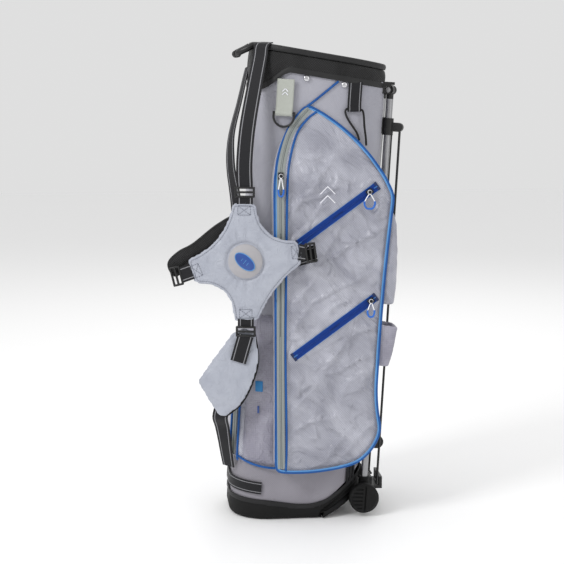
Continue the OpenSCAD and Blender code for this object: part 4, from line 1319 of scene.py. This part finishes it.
def makeFarPocket():
    found = bagPoints("far_pocket")
    depth = found[:, 1].max()
    outline = sortedOutline([(q[0], q[2]) for q in found], 6 * mm)
    fillFarPocket(outline, depth)
    ring = insetOutline(outline, -0.5 * mm)
    loop = evenly([bagPoint(a, depth - 3.5 * mm, b) for a, b in ring], 4 * mm, True)
    line = pipe("farPiping", loop, True)
    finish(line, "root", "blue_piping")
    # a long zip down its spine edge
    left = min(q[0] for q in outline)
    low, high = found[:, 2].min() + 60 * mm, found[:, 2].max() - 150 * mm
    path = [bagPoint(left + 20 * mm, depth + 1.6 * mm, s) for s in np.linspace(low, high, 60)]
    sides = [Vector((1, 0, 0))] * len(path)
    tape = ribbon("farZip", path, sides, 12 * mm, 1.2 * mm)
    paint(tape, greyZip)
    finish(tape, "root", "grey_zip")


def blockOf(name, node, voxel, cap, pressure, material, slot, soften=6):
    # a copy of a plain soft solid, made whole, rounded by the remesh and filled with air
    source = frame["nodes"][node]
    piece = source.copy()
    piece.data = source.data.copy()
    piece.parent = None
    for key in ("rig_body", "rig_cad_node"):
        if key in piece:
            del piece[key]
    bpy.context.collection.objects.link(piece)
    piece.name = piece.data.name = name
    mergeAndFace(piece, 0.05 * mm)
    applyModifier(piece, "REMESH", mode="VOXEL", voxel_size=voxel)
    applyModifier(piece, "SMOOTH", factor=0.5, iterations=soften)

    def hold(q):
        p = q.x * leanCos - q.z * leanSin
        return 1.0 if ovalDepth(p, q.y) < 2.5 * mm else 0.0
    swell(piece, hold, pressure, cap)
    applyModifier(piece, "SUBSURF", levels=1, render_levels=1)
    crumple(piece, 0.9 * mm, 22 * mm, lambda q: 1.0, 3.0)
    smooth(piece, 70)
    paint(piece, material)
    finish(piece, "root", slot, node)
    return piece


makeAccessory()
makeFarPocket()
blockOf("ballPocket", "ball_pocket", 5 * mm, 6 * mm, 2.5, nylon, "grey_fabric", 14)
blockOf("gussetPocket", "side_pocket", 4 * mm, 4 * mm, 2.5, nylon, "grey_fabric")
blockOf("bottlePocket", "bottle_pocket", 2 * mm, 1 * mm, 1.0, ripstop, "grey_fabric")


def makeBallTrim():
    found = bagPoints("ball_zip_tape")
    low, high = found[:, 2].min(), found[:, 2].max()
    middle = found[:, :2].mean(0)
    sideways = upBag.cross(outBall).normalized()

    def at(a, s, lift):
        return bagPoint(middle[0], middle[1], s) + sideways * a + outBall * lift
    path = [at(0, s, 0.9 * mm) for s in np.linspace(low, high + 10 * mm, 40)]
    tape = ribbon("ballZip", path, [sideways] * len(path), 11 * mm, 1.0 * mm)
    paint(tape, greyZip)
    finish(tape, "root", "grey_zip", "ball_zip_tape")
    for side, name in ((-1, "ballPipingNear"), (1, "ballPipingFar")):
        line = [at(side * 15 * mm, high + 22 * mm, -1 * mm), at(side * 11.5 * mm, high, 0),
                at(side * 11 * mm, (low + high) / 2, 0.2 * mm), at(side * 11.5 * mm, low, 0),
                at(side * 14 * mm, low - 10 * mm, -1 * mm)]
        piece = pipe(name, smoothPath(line, 3.5 * mm))
        finish(piece, "root", "blue_piping")


makeBallTrim()
print("other pockets made")


# harness
starSettings = {"turn": 12, "half": 3.4 * mm, "voxel": 4.5 * mm, "pressure": 4.0, "cap": 4.5 * mm,
                "discRadius": 30 * mm, "badgeTurn": 40}
starTurn = math.radians(starSettings["turn"])
badgeLow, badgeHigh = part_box("harness_badge")
starIn = Vector((math.sin(starTurn), math.cos(starTurn), 0))
starRight = Vector((math.cos(starTurn), -math.sin(starTurn), 0))
starAt = (badgeLow + badgeHigh) / 2 + starIn * 8.3 * mm


def starPoint(a, depth, b):
    return starAt + starRight * a + starIn * depth + Vector((0, 0, b))


def toStar(q):
    away = Vector(q) - starAt
    return away.dot(starRight), away.dot(starIn), away.z


def starOutline(node, step, soften=2):
    found = [toStar(v.co) for v in frame["nodes"][node].data.vertices]
    return sortedOutline([(a, b) for a, _, b in found], step, soften)


def padPiece(name, outline, low, high, cap, material, slot, node, ripple, voxel=None):
    # a sewn pad in the harness's own frame; ripple(a, b, edge) lifts or sinks its faces
    piece = prism(name, insetOutline(outline, -1 * mm), lambda a, b, y: Vector((a, y, b)), low, high)
    applyModifier(piece, "REMESH", mode="VOXEL", voxel_size=voxel or starSettings["voxel"])
    ring = outline + [outline[0]]

    def hold(q):
        return min(1.0, max(0.0, 1 - (lineDistance(q.x, q.z, ring) - 2.5 * mm) / (5 * mm)))
    swell(piece, hold, starSettings["pressure"], cap)
    applyModifier(piece, "SUBSURF", levels=1, render_levels=1)
    found = coordinates(piece)
    middle = (low + high) / 2
    for i, (a, y, b) in enumerate(found):
        edge = lineDistance(a, b, ring)
        push = ripple(a, b, edge)
        found[i][1] = y + (push if y > middle else -push)
        found[i] = starPoint(*found[i])
    setCoordinates(piece, found)
    smooth(piece, 70)
    paint(piece, material)
    finish(piece, "root", slot, node)
    return piece


starRing = starOutline("harness_pad", 4 * mm)
arms = {"top": ((-2, 88), 0), "right": ((88, 17), 84), "bottom": ((0, -92), 0), "left": ((-86, -18), 68)}


def starRipple(a, b, edge):
    away, turn = math.hypot(a, b), math.atan2(b, a)
    lift = -1.1 * mm * math.exp(-((edge - 5 * mm) / (1.6 * mm)) ** 2)
    ring = math.exp(-((away - 44 * mm) / (12 * mm)) ** 2)
    fold = abs(math.cos(turn * 8 + 1.2 * math.sin(turn * 3)))
    lift += 2.4 * mm * ring * (fold ** 0.6 - 0.8) * (0.75 + 0.25 * math.sin(turn * 2 + 4))
    lift -= 3.4 * mm * math.exp(-((away - 32.5 * mm) / (2.6 * mm)) ** 2)
    lift += 0.5 * mm * noise.noise(Vector((a, 0, b)) / (16 * mm))
    for (armA, armB), turnArm in arms.values():
        da, db = a - armA * mm, b - armB * mm
        angle = math.radians(turnArm)
        ua, ub = da * math.cos(angle) - db * math.sin(angle), da * math.sin(angle) + db * math.cos(angle)
        if abs(ua) < 17 * mm and abs(ub) < 13 * mm:
            lift -= 1.1 * mm
    return lift


starPad = padPiece("starPad", starRing, -starSettings["half"], starSettings["half"], starSettings["cap"],
                   padNylon, "grey_pad", "harness_pad", starRipple)


def faceDepth(a, b):
    # the pad's front face under a point of the harness frame
    best = None
    for q in starCloud:
        away = (q[0] - a) ** 2 + (q[2] - b) ** 2
        if q[1] < 0 and (best is None or away < best[0]):
            best = (away, q[1])
    return best[1]


starCloud = [toStar(q) for q in coordinates(starPad)[::3]]


def stitchRow(points, dash=2.6 * mm, gap=1.2 * mm, lift=0.45 * mm):
    # separate stitches along a line of the harness frame
    path = evenly([Vector((a, 0, b)) for a, b in points], dash + gap)
    rows = []
    for first, second in zip(path, path[1:]):
        end = first.lerp(second, dash / (dash + gap))
        a = starPoint(first.x, faceDepth(first.x, first.z) - lift, first.z)
        b = starPoint(end.x, faceDepth(end.x, end.z) - lift, end.z)
        rows.append([a, a.lerp(b, 0.5) + starIn * -0.15 * mm, b])
    return rows


def makeStitches():
    rows = []
    for (armA, armB), turnArm in arms.values():
        angle = math.radians(turnArm)

        def corner(ua, ub):
            return (armA * mm + (ua * math.cos(angle) + ub * math.sin(angle)) * mm,
                    armB * mm + (-ua * math.sin(angle) + ub * math.cos(angle)) * mm)
        box = [corner(-11, -8), corner(11, -8), corner(11, 8), corner(-11, 8), corner(-11, -8)]
        for first, second in zip(box, box[1:]):
            rows += stitchRow([first, second])
        rows += stitchRow([corner(-11, -8), corner(11, 8)])
        rows += stitchRow([corner(11, -8), corner(-11, 8)])
    edge = insetOutline(starRing, 4.6 * mm)
    rows += stitchRow(edge + [edge[0]])
    piece = tubes("starStitches", rows, 0.42 * mm)
    paint(piece, thread)
    finish(piece, "root", "grey_pad")


makeStitches()


def makeDisc():
    radius = starSettings["discRadius"]
    front = 9.4 * mm

    def place(u, v):
        turn = 2 * math.pi * u
        away = radius * math.sin(v * math.pi / 2)
        rise = (front + 1.5 * mm) - 5.2 * mm * (away / radius) ** 2.6
        if v > 0.93:
            rise -= (v - 0.93) / 0.07 * 5 * mm
        return starPoint(away * math.cos(turn), -rise, away * math.sin(turn))
    disc = gridSheet("padDisc", 72, 22, place)
    mergeAndFace(disc)
    smooth(disc, 60)
    paint(disc, discCloth)
    finish(disc, "root", "grey_pad", "harness_badge")
    tilt = math.radians(starSettings["badgeTurn"])

    def oval(half, tall, lift, a, b, k):
        ua, ub = half * a * k, tall * b * k
        spotA = ua * math.cos(tilt) + ub * math.sin(tilt)
        spotB = -ua * math.sin(tilt) + ub * math.cos(tilt)
        away = math.hypot(spotA, spotB)
        rise = (front + 1.5 * mm) - 5.2 * mm * (away / radius) ** 2.6
        return starPoint(spotA, -rise - lift, spotB)
    half, tall = 20 * mm, 11 * mm

    def badgeFace(u, v):
        turn = 2 * math.pi * u
        return oval(half, tall, 0.9 * mm + 0.5 * mm * (1 - v ** 4), math.cos(turn), math.sin(turn), v)
    face = gridSheet("ovalBadge", 64, 8, badgeFace)
    mergeAndFace(face)
    applyModifier(face, "SOLIDIFY", thickness=0.8 * mm, offset=-1)
    smooth(face, 60)
    paint(face, blueEnamel)
    finish(face, "root", "badge_plastic")
    edge = [oval(half, tall, 0.9 * mm, math.cos(t), math.sin(t), 1.0)
            for t in np.linspace(0, 2 * math.pi, 72, endpoint=False)]
    ring = tube("badgeEdge", edge, 0.8 * mm, True, 2)
    paint(ring, paleBlue)
    finish(ring, "root", "badge_plastic")
    # three plain bars, a generic mark
    for number, shift in enumerate((-6, 0, 6)):
        end = 4.5 - abs(shift) * 0.3
        bar = [oval(1, 1, 1.6 * mm, shift * mm, b * mm, 1.0) for b in (-end, 0, end)]
        piece = tube(f"badgeBar{number + 1}", evenly(bar, 2 * mm), 0.55 * mm, sides=1)
        paint(piece, paleBlue)
        finish(piece, "root", "badge_plastic")


makeDisc()


def quilt(a, b, edge):
    lift = -0.9 * mm * math.exp(-((edge - 4 * mm) / (1.5 * mm)) ** 2)
    return lift + 0.8 * mm * noise.noise(Vector((a * 1.4, 0, b * 0.7)) / (12 * mm))


strapLeftRing = [(a * mm, b * mm) for a, b in [
    (-10, 40), (-14, 78), (-50, 62), (-93, 28), (-118, 14), (-136, -3), (-136, -18), (-124, -30),
    (-112, -18), (-100, -6), (-60, 20), (-30, 32)]]
strapLeftRing = [(q.x, q.y) for q in smoothPath([(a, b, 0) for a, b in strapLeftRing], 4 * mm, closed=True)]
padPiece("strapLeft", strapLeftRing, 9 * mm, 12.5 * mm, 2.4 * mm, spacerMesh, "black_fabric", "strap_left",
         quilt, 3.5 * mm)
strapRightRing = [(q.x, q.y) for q in smoothPath([(a * mm, b * mm, 0) for a, b in [
    (-18, -124), (-46, -158), (-76, -200), (-84, -214), (-80, -226), (-56, -266), (-46, -276), (-34, -274),
    (-8, -250), (10, -214), (20, -176), (16, -136), (10, -123)]], 4 * mm, closed=True)]
padPiece("strapRight", strapRightRing, 5 * mm, 10 * mm, 3 * mm, padNylon, "grey_pad", "strap_right", quilt,
         4 * mm)
backRing = [(a + 2.5 * mm, b - 3.5 * mm) for a, b in insetOutline(strapRightRing, 1 * mm)]
strapBack = prism("strapRightBack", backRing, lambda a, b, y: starPoint(a, y, b), 11.2 * mm, 15.4 * mm)
applyModifier(strapBack, "BEVEL", width=1.4 * mm, segments=3, limit_method="ANGLE")
smooth(strapBack)
paint(strapBack, spacerMesh)
finish(strapBack, "root", "black_fabric")
edgeRing = [starPoint(a, 10.5 * mm, b) for a, b in strapLeftRing]
strapEdge = tube("strapLeftEdge", evenly(edgeRing, 4 * mm, True), 1.5 * mm, True, 2)
paint(strapEdge, binding)
finish(strapEdge, "root", "black_fabric")
print("pads made")


# webbing and buckles
webSettings = {"width": 28 * mm, "thick": 1.7 * mm}


def webLine(name, points, sides, width=None, material=None, step=6 * mm, nodes=(), slot="webbing", crown=0.0):
    path = smoothPath(points, step)
    count = len(path) - 1
    spread = []
    for i in range(count + 1):
        place = i / count * (len(sides) - 1)
        k = min(int(place), len(sides) - 2)
        spread.append(Vector(sides[k]).lerp(Vector(sides[k + 1]), place - k).normalized())
    for i, side in enumerate(spread):
        along = (path[min(i + 1, count)] - path[max(i - 1, 0)]).normalized()
        spread[i] = (side - along * side.dot(along)).normalized()
    piece = ribbon(name, path, spread, width or webSettings["width"], webSettings["thick"], crown)
    paint(piece, material or webbing)
    finish(piece, "root", slot, *nodes)
    return piece


def level(turn):
    return (math.cos(math.radians(turn)), -math.sin(math.radians(turn)), 0)


mainRim = bagPoint(-117 * mm, -76 * mm, rimHeight(-117 * mm) - 4 * mm)
webLine("shoulderWeb", [starPoint(-1 * mm, 0, 126 * mm), starPoint(-2 * mm, 3 * mm, 170 * mm),
                        starPoint(2 * mm, 16 * mm, 230 * mm), starPoint(12 * mm, 36 * mm, 300 * mm),
                        mainRim + Vector((-2 * mm, -4 * mm, -14 * mm)),
                        mainRim + Vector((2 * mm, -1 * mm, 9 * mm)),
                        mainRim + Vector((12 * mm, 8 * mm, 14 * mm))],
        [level(12), level(12), level(16), level(24), level(30), level(34)], nodes=("harness_webbing",))
webLine("padTopWeb", [starPoint(-1 * mm, 0, 112 * mm), starPoint(-1 * mm, 0, 92 * mm)],
        [level(12), level(12)])
farTop = bagPoint(-131 * mm, 12 * mm, rimHeight(-131 * mm) - 34 * mm)
webLine("farShoulderWeb", [starPoint(-16 * mm, 20 * mm, 70 * mm), starPoint(-22 * mm, 30 * mm, 110 * mm),
                           starPoint(-34 * mm, 62 * mm, 160 * mm), starPoint(-38 * mm, 100 * mm, 210 * mm),
                           farTop + Vector((-16 * mm, -20 * mm, -60 * mm)),
                           farTop + Vector((-4 * mm, -4 * mm, -14 * mm)), farTop],
        [level(40), level(60), level(70), level(76), level(80)], width=24 * mm)
webLine("leftWeb", [starPoint(-94 * mm, -1 * mm, -19 * mm), starPoint(-113 * mm, -1 * mm, -26 * mm)],
        [starRight * 0.32 + Vector((0, 0, -0.95)), starRight * 0.24 + Vector((0, 0, -0.97))])
webLine("rightWeb", [starPoint(92 * mm, -1 * mm, 17 * mm), starPoint(105 * mm, -1 * mm, 15 * mm)],
        [starRight * 0.2 + Vector((0, 0, -0.98)), starRight * 0.14 + Vector((0, 0, -0.99))])
webLine("padLowWeb", [starPoint(0, 0, -98 * mm), starPoint(0, -1 * mm, -116 * mm)], [level(12), level(12)])
webLine("looseTail", [starPoint(0, -3 * mm, -130 * mm), starPoint(-6 * mm, -1 * mm, -150 * mm),
                      starPoint(-14 * mm, 1 * mm, -178 * mm)], [level(12), level(12)])
lowEnd = bagPoint(-129 * mm, -46 * mm, 82 * mm)
webLine("lowerWeb", [starPoint(-44 * mm, 17 * mm, -262 * mm), starPoint(-50 * mm, 24 * mm, -284 * mm),
                     lowEnd + Vector((-12 * mm, -26 * mm, 76 * mm)),
                     lowEnd + Vector((-4 * mm, -6 * mm, 24 * mm)), lowEnd],
        [level(16), level(25), level(40), level(48)])
webLine("rightLoop", [starPoint(122 * mm, -2 * mm, 16 * mm), starPoint(112 * mm, 7 * mm, 12 * mm),
                      starPoint(40 * mm, 10 * mm, -10 * mm)],
        [starRight * 0.14 + Vector((0, 0, -0.99)), starRight * 0.14 + Vector((0, 0, -0.99))])


# middle and size of each bar, in millimetres
buckleBars = [((0, 0, -7.6), (33, 6.4, 3.4)), ((0, -1.0, 0), (30, 5.2, 3.6)), ((0, 0, 7.6), (33, 6.4, 3.4)),
              ((-15.6, 0, 0), (3.4, 6.8, 18)), ((15.6, 0, 0), (3.4, 6.8, 18))]


def makeBuckle(name):
    # ladder-lock buckle: a frame with three curved bars
    bars = []
    for place, size in buckleBars:
        bars.append(block("buckleBar", Matrix.Translation(Vector(place) * mm)
                          @ Matrix.Diagonal((size[0] * mm, size[1] * mm, size[2] * mm, 1)), 1.1 * mm, 3))
    buckle = join(name, bars)
    smooth(buckle)
    return buckle


pattern = makeBuckle("topBuckle")
buckles = [("topBuckle", (-1, 0, 119), 0), ("lowBuckle", (0, -2, -123), 0),
           ("leftBuckle", (-121, 0, -28), 76), ("rightBuckle", (113, 0, 16), 82)]
for name, (a, depth, b), turn in buckles:
    piece = pattern.copy()
    piece.data = pattern.data.copy()
    bpy.context.collection.objects.link(piece)
    piece.name = piece.data.name = name + "Lock"
    piece.data.transform(Matrix.Translation(starPoint(a * mm, depth * mm, b * mm))
                         @ Matrix.Rotation(-starTurn, 4, "Z") @ Matrix.Rotation(math.radians(turn), 4, "Y"))
    paint(piece, blackPlastic)
    finish(piece, "root", "black_plastic", *(["ladder_buckles"] if name == "topBuckle" else []))
bpy.data.objects.remove(pattern)


# the band round the foot of the bag, and three upright tapes at the toe
footBand = bagPoints("base_webbing")
bandLow = footBand[:, 2].min()
startShare, endShare = shareOf(-70 * mm, -bodySide), shareOf(-70 * mm, bodySide)


def bandPoint(share, s, proud=3.6 * mm):
    p, y, normal = ovalPoint(share, proud)
    return bagPoint(p, y, s), Vector((normal[0] * leanCos, normal[1], -normal[0] * leanSin))


path = [bandPoint(share % 1.0, bandLow + 11 * mm)[0]
        for share in np.linspace(startShare, endShare - 1.0, 90)]
band = ribbon("footBand", path, [upBag] * len(path), 22 * mm, 1.8 * mm)
paint(band, webbing)
finish(band, "root", "webbing", "base_webbing")
for number in range(3):
    share = shareOf(78 * mm, -bodySide + 20 * mm) + number * 0.011
    path = [bandPoint(share, s, 2.6 * mm)[0] for s in np.linspace(66 * mm, 100 * mm, 8)]
    side = bandPoint(share + 0.004, 80 * mm, 2.6 * mm)[0] - bandPoint(share - 0.004, 80 * mm, 2.6 * mm)[0]
    tape = ribbon(f"toeTape{number + 1}", path, [side.normalized()] * len(path), 5.5 * mm, 1.2 * mm, 0, 2)
    paint(tape, plainWebbing)
    finish(tape, "root", "webbing")
print("webbing made")


# small fittings
ringPivot = Vector(jointNamed("ring_swing")["pos_m"])
ringSide = -Vector(jointNamed("ring_swing")["axis"])
ringOut = upBag.cross(ringSide).normalized()
if ringOut.y > 0:
    ringOut = -ringOut
# height up the bag and distance outwards, round the ring's bar and back
tabSettings = {"width": 30 * mm, "thick": 1.6 * mm,
               "route": [(58, -2.2), (40, -2.2), (12, -1.6), (3, 1.8), (-1.5, 3.4), (-5, 0.2), (-1.5, -3.2),
                         (8, -4.1)]}
tabRoute = [ringPivot + upBag * (s * mm) + ringOut * (lift * mm) for s, lift in tabSettings["route"]]
tabPath = smoothPath(tabRoute, 2.5 * mm)
tab = ribbon("ringTab", tabPath, [ringSide] * len(tabPath), tabSettings["width"], tabSettings["thick"])
paint(tab, greyWebbing)
finish(tab, "root", "grey_webbing", "ring_tab")


def plainMotif(name, centre, right, up, out, size):
    # a generic sewn chevron pair
    for number in range(2):
        shift = (number - 0.5) * size * 0.6
        line = [centre + right * (-size * 0.5) + up * (shift - size * 0.25) + out,
                centre + up * (shift + size * 0.25) + out,
                centre + right * size * 0.5 + up * (shift - size * 0.25) + out]
        piece = tube(f"{name}{number + 1}", evenly(line, 2 * mm), 0.9 * mm, sides=1)
        paint(piece, whiteThread)
        finish(piece, "root", "grey_fabric")


plainMotif("tabChevron", ringPivot + upBag * 36 * mm + ringOut * -0.6 * mm, ringSide, upBag, Vector(),
           10 * mm)
motifAt = onFront(8 * mm, 592 * mm, 4.5 * mm)
plainMotif("frontChevron", motifAt, Vector((1, 0, 0)), Vector((0, 0, 1)), Vector(), 26 * mm)

umbrella = bagPoints("umbrella_tab")
umbrellaMid = (umbrella[:, 0].min() + umbrella[:, 0].max()) / 2
umbrellaLow, umbrellaHigh = umbrella[:, 2].min(), umbrella[:, 2].max()
tabDepth = bodySide + 1.8 * mm
path = [bagPoint(umbrellaMid, -tabDepth - lift, s) for s, lift in
        [(umbrellaHigh + 6 * mm, 0), (umbrellaLow + 14 * mm, 0.6 * mm), (umbrellaLow + 6 * mm, 3.4 * mm),
         (umbrellaLow + 1 * mm, 5.4 * mm), (umbrellaLow, 3.0 * mm), (umbrellaLow + 3 * mm, 0.4 * mm)]]
path = smoothPath(path, 2.5 * mm)
piece = ribbon("umbrellaTab", path, [Vector((1, 0, 0))] * len(path), 24 * mm, 1.8 * mm)
paint(piece, webbing)
finish(piece, "root", "webbing", "umbrella_tab")
cordNode = bagPoints("umbrella_cord")
cordY = (cordNode[:, 1].min() + cordNode[:, 1].max()) / 2
cordTop = cordNode[:, 2].max() - 2 * mm
route = [(26, -62, 4), (24, -50, 1), (20, -30, 0), (17, -9, 0), (13, -1, 0), (0, 0, 0), (-13, -1, 0),
         (-15, -8, 0), (-9, -20, 0), (5, -38, 0), (10, -46, 2), (13, -54, 4)]
route = [bagPoint(umbrellaMid + a * mm, cordY + inward * mm, cordTop + b * mm) for a, b, inward in route]
piece = tube("umbrellaElastic", smoothPath(route, 2.5 * mm), 1.9 * mm, sides=3)
paint(piece, elastic)
finish(piece, "root", "elastic", "umbrella_cord")

studs = bagPoints("snap_studs")
between = (studs[:, 0].min() + studs[:, 0].max()) / 2
for number, group in enumerate((studs[studs[:, 0] < between], studs[studs[:, 0] >= between])):
    centre = (group.min(0) + group.max(0)) / 2
    share = shareOf(centre[0], centre[1])
    base, outward = bandPoint(share, min(centre[2], collarLow(centre[0]) - 5.5 * mm), 1.2 * mm)
    sideways = upBag.cross(outward).normalized()

    def place(u, v):
        turn = 2 * math.pi * u
        dome = min(1, v * 1.3)
        rise = 2.8 * mm * math.sqrt(max(0.0, 1 - dome ** 2)) + 0.6 * mm
        if v > 0.77:
            rise = 0.6 * mm - (v - 0.77) * 10 * mm
        return base + (sideways * math.cos(turn) + upBag * math.sin(turn)) * 5.6 * mm * dome + outward * rise
    stud = gridSheet(f"snapStud{number + 1}", 28, 12, place)
    mergeAndFace(stud)
    smooth(stud, 40)
    paint(stud, chrome)
    finish(stud, "root", "stud_metal", *(["snap_studs"] if number == 0 else []))


def sewnPatch(name, p, s, wide, tall, material):
    # a small label or bar of stitches on the side panel
    share = shareOf(p, -bodySide + 12 * mm)
    spot, normal = bandPoint(share, s, 9.4 * mm)
    right = Vector((0, 0, 1)).cross(normal).normalized() * -1
    axes = Matrix((right, normal, right.cross(normal))).transposed().to_4x4()
    size = Matrix.Diagonal((wide, 1.2 * mm, tall, 1))
    patch = block(name, Matrix.Translation(spot) @ axes @ size, 0.5 * mm, 2)
    smooth(patch)
    paint(patch, material)
    finish(patch, "root", "blue_piping")


sewnPatch("blueLabel", -78 * mm, 242 * mm, 14 * mm, 19 * mm, labelCloth)
sewnPatch("barTack", -77 * mm, 200 * mm, 3.4 * mm, 13 * mm, blueEnamel)
print("fittings made")
